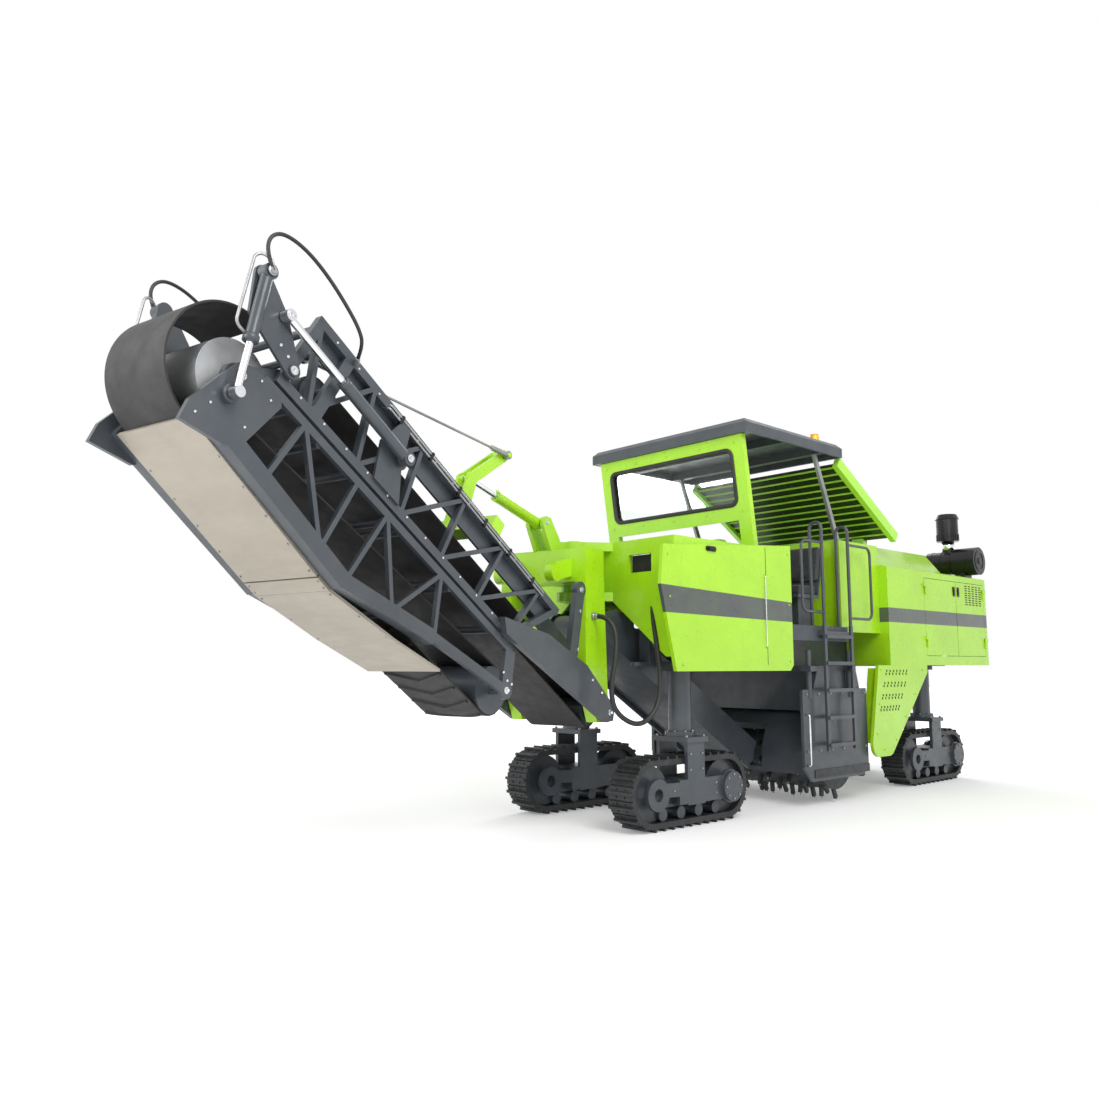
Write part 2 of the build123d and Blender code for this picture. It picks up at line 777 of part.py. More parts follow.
def make_king_post():
    """Two cheeks on a cross beam over the inner section, open between for the luff cylinder's eye."""
    knee = (luff_eye[0] + 50, luff_eye[1] - 10)
    with BuildPart() as post:
        with BuildSketch(belt_plane(0)):
            with Locations(Location((*post_foot, 0), (0, 0, belt_angle))):
                Rectangle(130, 120)
        extrude(amount=frame_w + frame_bar, both=True)
        for side in (-1, 1):
            for a, b, radius in ((post_foot, knee, 62), (knee, rope_low, 52)):
                with BuildSketch(belt_plane(side * (cheek_inner + cheek_outer) / 2)):
                    with Locations(a, b):
                        Circle(radius)
                    make_hull()
                extrude(amount=(cheek_outer - cheek_inner) / 2, both=True)
        with BuildSketch(belt_plane(0)):
            with Locations(rope_low):
                Circle(52)
            bar(post_foot, between(post_foot, knee, 0.4), 90)
        extrude(amount=cheek_inner + 1, both=True)
        cross_bar(belt_plane, rope_low, rope_pin, -cheek_outer - 10, rope_w + 25)
    return post.part


def make_pendant_rope():
    way = slope(rope_low, rope_high)
    with BuildPart() as rope:
        rod_solid(belt_plane(rope_w), along(rope_low, way, 60), along(rope_high, way, -40), 11)
        for end, turn, bore in ((rope_low, way, rope_pin), (rope_high, way + 180, rope_bar)):
            rod_solid(belt_plane(rope_w), along(end, turn, bore + 6), along(end, turn, 240), 26)
            cross_bar(belt_plane, end, bore + 18, rope_w + 20, rope_w - 20)
        for end, bore in ((rope_low, rope_pin), (rope_high, rope_bar)):
            with BuildSketch(belt_plane(rope_w)) as hole:
                with Locations(end):
                    Circle(bore + seat_gap)
            extrude(hole.sketch, amount=40, both=True, mode=Mode.SUBTRACT)
    return rope.part


cover_sheet = 24
cover_lip = (60, -385)          # front end of the covers' middle line, along the chord and square to it
cover_seam = (-1260, -572)


def make_outer_covers():
    with BuildPart() as covers:
        for a, b in ((chord(*cover_lip), chord(*cover_seam)), (chord(-1272, -574), chord(-1400, -588)),
                     (chord(-1400, -588), chord(-2080, -520))):
            with BuildSketch(belt_plane(0)):
                bar(a, b, cover_sheet)
            extrude(amount=cover_width / 2, both=True)
        with BuildSketch(belt_plane(0)):
            bar(chord(-2080, -520), chord(-2650, -430), 20)
        extrude(amount=cover_width / 2, both=True)
    return covers.part


wrap_radius = 455


def make_belt_wrap():
    """Slack belt that loops round the fold between the two sections and rests on the covers' lip."""
    lean = radians(slope(cover_seam, cover_lip))
    lip_reach = cover_lip[0] - cover_sheet / 2 * sin(lean)
    lip_rise = cover_lip[1] + cover_sheet / 2 * cos(lean)
    middle = chord(0, lip_rise + ((wrap_radius + seat_gap) ** 2 - lip_reach ** 2) ** 0.5)
    with BuildPart() as wrap:
        with BuildSketch(belt_plane(0)):
            with Locations(middle):
                Circle(wrap_radius)
                Circle(wrap_radius - belt_thickness, mode=Mode.SUBTRACT)
            with Locations(Location((*along(middle, belt_angle, -400), 0), (0, 0, belt_angle))):
                Rectangle(800, 1400, mode=Mode.SUBTRACT)
        extrude(amount=belt_width / 2, both=True)
    return wrap.part


# ---- milling drum, its housing and the guards round it ----
def make_drum():
    with BuildPart() as drum:
        with BuildSketch(side_plane(0)):
            with Locations((0, drum_z)):
                Circle(drum_core_radius)
        extrude(amount=drum_length / 2, both=True)
        with BuildSketch(side_plane(0)):
            with Locations((0, drum_z)):
                Circle(drum_shaft_radius)
        extrude(amount=drum_length / 2 + housing_side_clear + housing_wall - 6, both=True)
        places = []
        for start in range(tool_starts):
            for row in range(tool_rows):
                y = (row + 0.5) * drum_length / 2 / tool_rows
                turn = 360 * start / tool_starts + row * 24
                for side in (-1, 1):
                    reach = (drum_core_radius + drum_tip_radius) / 2 - 14
                    a = radians(turn)
                    places.append(Location((reach * sin(a), side * y, drum_z + reach * cos(a)), (0, turn + 24, 0)))
        with Locations(*places):
            Box(46, 34, drum_tip_radius - drum_core_radius)
    return drum.part


def make_housing():
    clear = drum_tip_radius + housing_clear
    wall_y = drum_length / 2 + housing_side_clear
    with BuildPart() as housing:
        with BuildSketch(side_plane(0)):
            with Locations((0, drum_z)):
                Circle(clear + housing_wall)
            with Locations((0, (drum_z + side_plate_low + 60) / 2)):
                Rectangle(2 * (clear + housing_wall), drum_z - side_plate_low - 60)
            with Locations((0, drum_z)):
                Circle(clear, mode=Mode.SUBTRACT)
            with Locations((0, drum_z / 2)):
                Rectangle(2 * clear, drum_z, mode=Mode.SUBTRACT)
            with Locations((0, side_plate_low + 60 - drum_z)):
                Rectangle(3 * clear, 2 * drum_z, mode=Mode.SUBTRACT)
        extrude(amount=wall_y + 1, both=True)
        for side in (-1, 1):
            with BuildSketch(side_plane(side * (wall_y + housing_wall / 2))):
                with BuildLine():
                    Polyline((-575, 350), (640, 350), (640, 1000), (420, rail_bottom - 60), (-420, rail_bottom - 60),
                             (-575, 1000), close=True)
                make_face()
                with Locations((0, drum_z)):
                    Circle(drum_shaft_radius + seat_gap, mode=Mode.SUBTRACT)
            extrude(amount=housing_wall / 2, both=True)
        with BuildSketch(Plane.XY.offset(rail_bottom - 60)):
            Rectangle(840, 2 * (wall_y + housing_wall))
        extrude(amount=60)
        for x in (-300, 300):
            with BuildSketch(Plane.XY.offset(1040)):
                with Locations((x, 0)):
                    Rectangle(60, 2 * wall_y)
            extrude(amount=rail_bottom - 1060)
        for side in (-1, 1):                                   # eyes for the side plates' guides
            with BuildSketch(Plane.XY.offset(rail_bottom - 60)):
                for x in guide_places:
                    with Locations((x, side * (wall_y + housing_wall + 30))):
                        Rectangle(120, 130)
                with Locations((500, side * (wall_y + housing_wall - 30))):
                    Rectangle(300, 60)
            extrude(amount=60)
            with BuildSketch(Plane.XY.offset(rail_bottom - 60)):
                with Locations(*[(x, side * guide_y) for x in guide_places]):
                    Circle(guide_radius + seat_gap)
            extrude(amount=60, mode=Mode.SUBTRACT)
            with BuildSketch(side_plane(side * 850)):          # runner of the moldboard
                with Locations((-(clear + housing_wall + moving_gap - seat_gap + clear) / 2, 675)):
                    Rectangle(housing_wall + moving_gap - seat_gap, 650)
            extrude(amount=30, both=True)
        with BuildSketch(side_plane(0)):                       # mouth to the pick-up conveyor
            with Locations((clear + 60, 640)):
                Rectangle(300, 480)
        extrude(amount=390, both=True, mode=Mode.SUBTRACT)
        with BuildSketch(side_plane(0)):
            with Locations((0, drum_z)):
                Circle(clear)
        extrude(amount=wall_y, both=True, mode=Mode.SUBTRACT)
    return housing.part


guide_radius = 28
guide_top = 1725
guide_places = (-190, 640)
guide_y = side_plate_y + 10


def make_side_plate():
    """Left edge guard beside the drum, which slides up and down on two round guides."""
    with BuildPart() as plate:
        with BuildSketch(side_plane(side_plate_y)):
            with BuildLine():
                Polyline((790, side_plate_low + 160), (790, side_plate_high), (side_plate_rear, side_plate_high),
                         (side_plate_rear, side_plate_low + 120), (side_plate_rear + 120, side_plate_low),
                         (640, side_plate_low), close=True)
            make_face()
        extrude(amount=side_plate_thickness / 2, both=True)
        for x in guide_places:
            with BuildSketch(Plane.XY.offset(side_plate_high - 100)):
                with Locations((x, guide_y)):
                    Circle(guide_radius)
            extrude(amount=guide_top - side_plate_high + 100)
    return plate.part


def make_moldboard():
    clear = drum_tip_radius + housing_clear + housing_wall + moving_gap
    with BuildPart() as board:
        with BuildSketch(side_plane(0)):
            with BuildLine():
                Polyline((-clear, 330), (-clear, 1000), (-clear - 30, 1000), (-clear - 30, 330), (-clear - 70, 260),
                         (-clear - 20, 250), close=True)
            make_face()
        extrude(amount=drum_length / 2, both=True)
        with BuildSketch(Plane.XY.offset(500)):
            with Locations((-clear - 50, 600), (-clear - 50, 0), (-clear - 50, -600)):
                Rectangle(50, 60)
        extrude(amount=420)
    return board.part


def make_pickup():
    """Pick-up conveyor from the drum to the hopper of the slewed conveyor."""
    low = (790, 560)
    high = (3050, 1950)
    tilt = slope(low, high)
    with BuildPart() as pickup:
        for side in (-1, 1):
            with BuildSketch(side_plane(side * 385)):
                bar(low, high, 330, 40)
                with Locations(high):
                    Circle(150)
            extrude(amount=12, both=True)
        with BuildSketch(side_plane(0)):                        # belt with its end pulleys
            with Locations(Location((*between(low, high, 0.5), 0), (0, 0, tilt))):
                SlotCenterToCenter(span(low, high), 250)
                Rectangle(span(low, high) - 160, 222, mode=Mode.SUBTRACT)
        extrude(amount=350, both=True)
        with BuildSketch(side_plane(0)):
            with Locations(low, high):
                Circle(36)
            bar(between(low, high, 0.1), between(low, high, 0.9), 20)
            with Locations(Location((*between(low, high, 0.8), 0), (0, 0, tilt))):
                Rectangle(60, 60)
        extrude(amount=385, both=True)
        with BuildSketch(side_plane(0)):                        # cross beam between the rails
            with Locations(Location((*between(low, high, 0.8), 0), (0, 0, tilt))):
                Rectangle(60, 60)
        extrude(amount=rail_y - seat_gap, both=True)
    return pickup.part


# ---- body ----
def make_engine():
    with BuildPart() as engine:
        with BuildSketch(Plane.XY.offset(rail_bottom + 140)):
            with Locations((-2400, 0)):
                Rectangle(1900, 2 * rail_y - 20)
        extrude(amount=900)
    return engine.part


def make_deck():
    with BuildPart() as deck:
        with BuildSketch(Plane.XY.offset(rail_top)):
            with Locations(((deck_front + deck_rear) / 2, 0)):
                Rectangle(deck_front - deck_rear, 2 * (body_half_width - skin))
        extrude(amount=deck_thickness)
        with BuildSketch(Plane.XY.offset(rail_top - 120)):      # stiff edge under the ladder bays
            for side in (-1, 1):
                with Locations(((deck_front + deck_rear) / 2, side * (body_half_width - skin - 30))):
                    Rectangle(deck_front - deck_rear, 60)
        extrude(amount=121)
    return deck.part


def make_side_panel():
    with BuildPart() as panel:
        with BuildSketch(side_plane(body_half_width - skin / 2)):
            with BuildLine():
                Polyline((panel_rear, 1560), (panel_rear + 60, panel_bottom), (panel_nose_low, panel_bottom),
                         (panel_nose_high, 2310), (panel_nose_high - 40, panel_top - 110), (panel_rear, panel_top + 50),
                         close=True)
            make_face()
        extrude(amount=skin / 2, both=True)
    return panel.part


def hood_profile(inset):
    """Cross-section of the hood, looked at along the machine."""
    y = body_half_width - inset
    with BuildLine() as edge:
        Polyline((y, hood_bottom - 10 * (inset > 0)), (y, hood_top - 20 - inset), (y - 60, hood_top - inset),
                 (60 - y, hood_top - inset), (-y, hood_top - 20 - inset), (-y, hood_bottom - 10 * (inset > 0)),
                 close=True)
    make_face(edge.line.edges())


def step_profile(inset):
    with BuildLine() as edge:
        Polyline((1000 - inset, hood_top - 1 - inset), (760 - inset / 2, hood_step_top - inset),
                 (inset / 2 - 760, hood_step_top - inset), (inset - 1000, hood_top - 1 - inset), close=True)
    make_face(edge.line.edges())


def make_hood():
    with BuildPart() as hood:
        with BuildSketch(Plane.YZ.offset(hood_rear)):
            hood_profile(0)
        extrude(amount=hood_front - hood_rear)
        with BuildSketch(Plane.YZ.offset(hood_step_rear)):                  # raised middle
            step_profile(0)
        extrude(amount=hood_front - hood_step_rear)
        with BuildSketch(Plane.YZ.offset(hood_rear + skin)):                 # hollow inside
            hood_profile(skin)
        extrude(amount=hood_front - hood_rear - 2 * skin, mode=Mode.SUBTRACT)
        with BuildSketch(Plane.YZ.offset(hood_step_rear + skin)):
            step_profile(skin)
        extrude(amount=hood_front - hood_step_rear - 2 * skin, mode=Mode.SUBTRACT)
        with BuildSketch(Plane.XY.offset(hood_bottom - 20)):                 # ends open over the chassis
            with Locations((hood_front, 0), (hood_rear, 0)):
                Rectangle(3 * skin, 2 * (rail_y + rail_width) + 20)
        extrude(amount=rail_top - hood_bottom + 20, mode=Mode.SUBTRACT)
        for side in (-1, 1):                                                 # door openings
            with BuildSketch(side_plane(side * body_half_width)):
                with Locations(((door_seam_front + door_seam_rear) / 2, (door_low + door_high) / 2)):
                    Rectangle(door_seam_front - door_seam_rear, door_high - door_low)
            extrude(amount=skin + 20, both=True, mode=Mode.SUBTRACT)
            with BuildSketch(side_plane(side * (body_half_width - skin - 26))):    # pillar behind the seam
                with Locations((door_seam_middle, (door_low + door_high) / 2)):
                    Rectangle(60, door_high - door_low + 80)
            extrude(amount=20, both=True)
            with BuildSketch(side_plane(side * (body_half_width - skin - 10))):
                with Locations((door_seam_middle, door_low - 22), (door_seam_middle, door_high + 22)):
                    Rectangle(60, 34)
            extrude(amount=12, both=True)
        hinge_pins(door_seam_front - panel_gap - knuckle_radius, 1)
        hinge_pins(door_seam_rear + panel_gap + knuckle_radius, -1)
        mirror(about=Plane.XZ)
    return hood.part


def make_tank_box():
    """Box ahead of the hood, behind the platform, open below."""
    length = hood_step_front - hood_front
    with BuildPart() as tank:
        with BuildSketch(Plane.XY.offset(rail_top)):
            with Locations((hood_front + length / 2, 0)):
                Rectangle(length, 2 * tank_half_width)
        extrude(amount=tank_top - rail_top)
        with BuildSketch(Plane.XY.offset(rail_top)):
            with Locations((hood_front + (length - skin) / 2, 0)):
                Rectangle(length - skin, 2 * (tank_half_width - skin))
        extrude(amount=tank_top - rail_top - skin, mode=Mode.SUBTRACT)
    return tank.part


hinge_out = 12
knuckle_radius = 14
hinge_pin = 7
knuckle_height = 90
fixed_height = 40
knuckle_clear = 5
hinge_levels = (door_low + 120, door_high - 210)


def hinge_pins(x, way):
    """Fixed knuckles and pins on the hood's left face, for the door that hangs at x."""
    y = body_half_width + hinge_out
    for level in hinge_levels:
        top = level + knuckle_height + 2 * seat_gap
        with BuildSketch(Plane.XY.offset(top)) as knuckle:
            with Locations((x, y)):
                Circle(knuckle_radius)
            with Locations((x + way * 30, y)):
                Rectangle(60, 2 * hinge_out + 2)
        extrude(knuckle.sketch, amount=fixed_height)
        with BuildSketch(Plane.XY.offset(level - 10)) as pin:
            with Locations((x, y)):
                Circle(hinge_pin)
        extrude(pin.sketch, amount=knuckle_height + 20)


def make_door(hinge_edge, free_edge):
    """Left engine door, hung on knuckles at one edge."""
    way = 1 if hinge_edge > free_edge else -1
    x = hinge_edge - way * (panel_gap + knuckle_radius)
    with BuildPart() as door:
        with BuildSketch(side_plane(body_half_width - skin / 2)):
            with Locations(((hinge_edge + free_edge) / 2, (door_low + door_high) / 2)):
                Rectangle(abs(hinge_edge - free_edge) - 2 * panel_gap, door_high - door_low - 2 * panel_gap)
        extrude(amount=skin / 2, both=True)
        for level in hinge_levels:
            with BuildSketch(Plane.XY.offset(level)):
                with Locations((x, body_half_width + hinge_out)):
                    Circle(knuckle_radius)
            extrude(amount=knuckle_height)
            with BuildSketch(Plane.XY.offset(level)):
                with Locations((x, body_half_width + hinge_out)):
                    Circle(hinge_pin + seat_gap)
            extrude(amount=knuckle_height, mode=Mode.SUBTRACT)
            with BuildSketch(Plane.XY.offset(level + knuckle_height)):       # notch round the fixed knuckle
                with Locations((x, body_half_width)):
                    Rectangle(2 * (knuckle_radius + knuckle_clear), 2 * hinge_out)
            extrude(amount=fixed_height + 2 * seat_gap + knuckle_clear, mode=Mode.SUBTRACT)
    return door.part


def make_lower_cover():
    """Left tapered cover under the hood, with its front return wall."""
    with BuildPart() as cover:
        with BuildSketch(side_plane(body_half_width - skin / 2)) as shape:
            with BuildLine():
                Polyline((-740, hood_bottom), (-1985, hood_bottom), (-1985, hood_bottom - 90), (-980, 480), (-500, 480),
                         close=True)
            make_face()
            fillet(shape.vertices().sort_by(Axis.Y)[0:2], radius=150)
        extrude(amount=skin / 2, both=True)
        with BuildSketch(side_plane(body_half_width - skin - 44)):
            bar((-790, hood_bottom - 40), (-600, 640), 34)
        extrude(amount=76, both=True)
    return cover.part


def make_louvre():
    """Sloped wall behind the platform: side plates, dark core and slats."""
    top = (roof_rear - 10, roof_bottom - 60)
    low = (-1450, hood_step_top + 100)
    with BuildPart() as louvre:
        for side in (-1, 1):
            with BuildSketch(side_plane(side * 1075)):
                bar(top, low, 130, 30)
            extrude(amount=35, both=True)
        with BuildSketch(side_plane(0)):
            bar(top, low, 30)
            for i in range(12):
                with Locations(Location((*between(top, low, (i + 0.5) / 12), 0), (0, 0, 10))):
                    Rectangle(90, 22)
        extrude(amount=1076, both=True)
        with BuildSketch(Plane.XY.offset(hood_step_top)):
            with Locations((-1450, 600), (-1450, -600)):
                Rectangle(100, 160)
        extrude(amount=120)
    return louvre.part


def make_roof():
    with BuildPart() as roof:
        with BuildSketch(Plane.XY.offset(roof_bottom)):
            with Locations(((roof_front + roof_rear) / 2, 0)):
                Rectangle(roof_front - roof_rear, 2 * roof_half_width)
        extrude(amount=roof_thickness)
        chamfer(roof.edges().group_by(Axis.Z)[-1], length=50)
        with BuildSketch(Plane.XY.offset(roof_bottom)):
            with Locations(((roof_front + roof_rear) / 2, 0)):
                Rectangle(roof_front - roof_rear - 60, 2 * roof_half_width - 60)
        extrude(amount=roof_thickness - 70, mode=Mode.SUBTRACT)
        with BuildSketch(Plane.XY.offset(roof_bottom)):
            with Locations(*[(x, 0) for x in roof_ribs]):
                Rectangle(90, 2 * roof_half_width - 50)
        extrude(amount=roof_thickness - 60)
    return roof.part


wind_low = (1500, front_box_top)
wind_high = (1690, roof_bottom)


window_width = 1790
window_height = 590
window_middle = 790
window_corner = 70


def wind_plane():
    """Tilted plane of the windshield: local x to the left, local y up along the frame."""
    tilt = radians(slope(wind_low, wind_high))
    return Plane(origin=(wind_low[0], 0, wind_low[1]), x_dir=(0, 1, 0), z_dir=(sin(tilt), 0, -cos(tilt)))


def make_windshield():
    height = span(wind_low, wind_high)
    with BuildPart() as screen:
        with BuildSketch(wind_plane()):
            with Locations((0, height / 2)):
                Rectangle(2110, height + 40)
            with Locations((0, 130)):
                Rectangle(window_width, 380, mode=Mode.SUBTRACT)
            with Locations((0, window_middle)):
                RectangleRounded(window_width, window_height, window_corner, mode=Mode.SUBTRACT)
        extrude(amount=35, both=True)
        for level, up in ((front_box_top, -60), (roof_bottom, 60)):          # cut level at both ends
            with BuildSketch(Plane.XY.offset(level)):
                with Locations((between(wind_low, wind_high, 0.5)[0], 0)):
                    Rectangle(500, 2200)
            extrude(amount=up, mode=Mode.SUBTRACT)
    return screen.part


def make_window_glass():
    with BuildPart() as glass:
        with BuildSketch(wind_plane()):
            with Locations((0, window_middle)):
                RectangleRounded(window_width - 2 * seat_gap, window_height - 2 * seat_gap, window_corner)
        extrude(amount=4, both=True)
    return glass.part


post_low_x = -200


def make_canopy_posts():
    with BuildPart() as posts:
        for side in (-1, 1):
            with BuildSketch(side_plane(side * 1010)):
                with BuildLine():
                    Polyline((post_low_x - 34, tank_top), (post_low_x + 34, tank_top), (roof_ribs[0] + 30, roof_bottom),
                             (roof_ribs[0] - 30, roof_bottom), close=True)
                make_face()
            extrude(amount=18, both=True)
    return posts.part


ladder_sides = (-100, 460)


def make_ladder():
    """Left ladder, and the handrails that stand on it and on the deck."""
    low = 620
    high = rail_top + 60
    y = body_half_width + 20
    inner_y = 1050
    with BuildPart() as ladder:
        for x in ladder_sides:
            with BuildSketch(side_plane(y)):
                with Locations((x, (low + high) / 2)):
                    Rectangle(46, high - low)
            extrude(amount=15, both=True)
        for i in range(5):
            with BuildSketch(side_plane(y)):
                with Locations((sum(ladder_sides) / 2, 680 + i * 300)):
                    Rectangle(ladder_sides[1] - ladder_sides[0], 40)
            extrude(amount=32, both=True)
        with BuildSketch(Plane.XY.offset(rail_top - 60)):
            with Locations((sum(ladder_sides) / 2, (y + body_half_width - skin) / 2)):
                Rectangle(ladder_sides[1] - ladder_sides[0] + 60, y - body_half_width + skin)
        extrude(amount=50)
    rails = []
    for x in ladder_sides:
        with BuildPart() as rail:
            tube([(x, y, high), (x, y, 3180), (x, inner_y, 3180), (x, inner_y, rail_top + deck_thickness)], 19, 70)
            if x == ladder_sides[0]:
                tube([(x, y, 2100), (x - 500, y, 2100), (x - 500, y, 2960), (x, y, 2960)], 16, 90)
        rails.append(rail.part)
    return Compound([ladder.part, *rails])


def make_seats():
    with BuildPart() as seats:
        for side in (-1, 1):
            with BuildSketch(Plane.XY.offset(rail_top + deck_thickness)):
                with Locations((330, side * 740)):
                    Rectangle(260, 260)
            extrude(amount=330)
            with BuildSketch(side_plane(side * 740)):
                with BuildLine():
                    Polyline((140, 2330), (560, 2330), (560, 2370), (150, 2370), (40, 2900), (0, 2900), close=True)
                make_face()
            extrude(amount=200, both=True)
    return seats.part


def make_seat_pads():
    with BuildPart() as pads:
        for side in (-1, 1):
            with BuildSketch(side_plane(side * 740)):
                with Locations((375, 2370.3 + 50)):
                    Rectangle(370, 100)
            extrude(amount=210, both=True)
            with BuildSketch(side_plane(side * 740)):
                with Locations(Location((124, 2750, 0), (0, 0, 102))):
                    Rectangle(420, 100)
            extrude(amount=210, both=True)
    return pads.part


def make_console():
    with BuildPart() as console:
        with BuildSketch(side_plane(0)):
            with BuildLine():
                Polyline((1180, rail_top + deck_thickness), (deck_front, rail_top + deck_thickness), (deck_front, 2960),
                         (1340, 2960), (1130, 2800), (1200, 2700), close=True)
            make_face()
        extrude(amount=520, both=True)
    return console.part


def make_air_filter():
    x = -3740
    z = hood_top + 250
    with BuildPart() as air:
        with BuildSketch(side_plane(1180)):
            with Locations((x, z)):
                Circle(200)
        extrude(amount=330)
        with BuildSketch(side_plane(850)):
            with Locations((x, z)):
                Circle(170)
        extrude(amount=400)
        with BuildSketch(side_plane(450)):
            with Locations((x, z)):
                Circle(110)
        extrude(amount=330)
        with BuildSketch(Plane.XY.offset(z)):
            with Locations((x, 740)):
                Circle(85)
        extrude(amount=330)
        with BuildSketch(Plane.XY.offset(z + 320)):
            with Locations((x, 740)):
                Circle(150)
        extrude(amount=330)
        with BuildSketch(Plane.XY.offset(z + 650)):
            with Locations((x, 740)):
                Circle(170)
        extrude(amount=70, taper=25)
        with BuildSketch(Plane.XY.offset(hood_top + 0.3)):
            with Locations((x, 980), (x, 500)):
                Rectangle(240, 60)
        extrude(amount=z - hood_top - 60)
    return air.part


def make_beacon():
    with BuildPart() as beacon:
        with BuildSketch(Plane.XY.offset(roof_bottom + roof_thickness + 0.3)):
            with Locations((40, 900)):
                Circle(75)
        extrude(amount=30)
        with BuildSketch(Plane.XY.offset(roof_bottom + roof_thickness + 30)):
            with Locations((40, 900)):
                Circle(60)
        extrude(amount=110, taper=6)
    return beacon.part


os.makedirs("parts", exist_ok=True)
loop = make_track_loop()
crawler = make_track_frame()
corners = (
    ("front_left", front_axle_x, 1),
    ("front_right", front_axle_x, -1),
    ("rear_left", rear_axle_x, 1),
    ("rear_right", rear_axle_x, -1),
)
for corner, axle_x, out in corners:
    place = Location((axle_x, out * gauge / 2, 0))
    save(f"track_loop_{corner}", loop.moved(place))
    save(f"track_frame_{corner}", (crawler if out > 0 else crawler.mirror(Plane.XZ)).moved(place))
save("chassis_frame", make_chassis())
save("chassis_beams", make_chassis_beams())
save("leg_sleeves", make_leg_sleeves())
save("engine_block", make_engine())
save("platform_deck", make_deck())
save("front_box", make_front_box())
save("hood_shell", make_hood())
save("tank_box", make_tank_box())
save("louvre_wall", make_louvre())
save("canopy_roof", make_roof())
save("windshield_frame", make_windshield())
save("windshield_glass", make_window_glass())
save("canopy_posts", make_canopy_posts())
save("operator_seats", make_seats())
save("seat_pads", make_seat_pads())
save("control_console", make_console())
save("air_filter", make_air_filter())
save("beacon", make_beacon())
save("drum_housing", make_housing())
save("milling_drum", make_drum())
save("moldboard", make_moldboard())
save("pickup_conveyor", make_pickup())
mirrored = (
    ("side_panel", make_side_panel()),
    ("lower_cover", make_lower_cover()),
    ("ladder", make_ladder()),
    ("side_plate", make_side_plate()),
    ("middle_door", make_door(door_seam_front, door_seam_middle)),
    ("rear_door", make_door(door_seam_rear, door_seam_middle)),
)
for node, left in mirrored:
    save(f"{node}_left", left)
    save(f"{node}_right", left.mirror(Plane.XZ))
save("slew_turret", make_turret())
save("luff_barrel", make_luff_barrel())
save("luff_rod", make_luff_rod())
save("inner_frame", make_inner_frame())
save("inner_belt", make_inner_belt())
save("side_boards", make_side_boards())
save("king_post", make_king_post())
save("pendant_rope", make_pendant_rope())
save("belt_wrap", make_belt_wrap())
save("outer_frame", make_outer_frame())
save("outer_belt", make_outer_belt())
save("outer_covers", make_outer_covers())
save("fold_drum", make_fold_drum())
save("fold_kites", make_kites())
save("fold_barrels", make_fold_barrels())
save("fold_rods", make_fold_rods())
save("link_barrels", make_link_barrels())
save("link_rods", make_link_rods())
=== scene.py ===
import math
import bmesh
import bpy
from mathutils import Matrix
import numpy as np


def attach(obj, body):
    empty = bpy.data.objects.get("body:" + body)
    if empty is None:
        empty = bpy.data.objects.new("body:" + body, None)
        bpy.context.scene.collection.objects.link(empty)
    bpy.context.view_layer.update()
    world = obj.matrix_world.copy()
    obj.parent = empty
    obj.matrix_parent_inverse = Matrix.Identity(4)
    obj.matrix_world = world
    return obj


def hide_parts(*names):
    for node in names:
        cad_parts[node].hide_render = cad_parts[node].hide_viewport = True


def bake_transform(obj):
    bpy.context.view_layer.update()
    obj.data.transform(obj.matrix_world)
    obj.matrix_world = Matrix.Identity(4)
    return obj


scene = bpy.context.scene
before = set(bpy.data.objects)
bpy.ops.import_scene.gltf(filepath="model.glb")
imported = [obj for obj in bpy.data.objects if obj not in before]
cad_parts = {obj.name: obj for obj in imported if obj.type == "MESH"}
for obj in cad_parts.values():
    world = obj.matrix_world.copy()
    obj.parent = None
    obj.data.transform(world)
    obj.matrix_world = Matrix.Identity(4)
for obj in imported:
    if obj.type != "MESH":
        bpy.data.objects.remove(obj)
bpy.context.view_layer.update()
print("frame loaded:", len(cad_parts), "nodes")

midX, midY = 2.0539, 0.2015  # from working axes to the frame: x is 0 over the drum, y midway
slewX, slewTurn = 3.2, math.radians(13)  # the conveyor's slew axis, and its turn to the left
foldPin, beltTurn = (4.45, 3.32), math.radians(33)  # the fold pin, forward and up, and the slope
bothSides = ((1, "left"), (-1, "right"))


# points in the machine's working axes, moved to the frame
def place(points):
    return np.asarray(points, float) - np.array([midX, midY, 0.0])


# points of the slewed conveyor, u forward, w left, z up: x = x0 + u cos t - w sin t, y = u sin t + w cos t
def slewed(u, w, z):
    u, w, z = np.broadcast_arrays(*(np.asarray(c, float) for c in (u, w, z)))
    x = slewX + u * math.cos(slewTurn) - w * math.sin(slewTurn)
    y = u * math.sin(slewTurn) + w * math.cos(slewTurn)
    return place(np.stack([x, y, z], -1))


# a direction of the slewed conveyor as a direction of the machine, by the same turn
def slewWay(u, w, z):
    return np.array([u * math.cos(slewTurn) - w * math.sin(slewTurn),
                     u * math.sin(slewTurn) + w * math.cos(slewTurn), z])


# conveyor points (u, w, z) on the left side, or mirrored to the right
def onSide(spots, side):
    u, w, z = np.moveaxis(np.asarray(spots, float), -1, 0)
    return slewed(u, side * w, z)


# (distance, rise) along the slope as (u, z): u = u0 + d cos a - r sin a, z = z0 + d sin a + r cos a
def chord(pairs):
    d, r = np.moveaxis(np.asarray(pairs, float), -1, 0)
    return np.stack([foldPin[0] + d * math.cos(beltTurn) - r * math.sin(beltTurn),
                     foldPin[1] + d * math.sin(beltTurn) + r * math.cos(beltTurn)], -1)


# an empty node material, its tree and its shader
def nodeMaterial(name):
    mat = bpy.data.materials.new(name)
    mat.use_nodes = True
    return mat, mat.node_tree, mat.node_tree.nodes["Principled BSDF"]


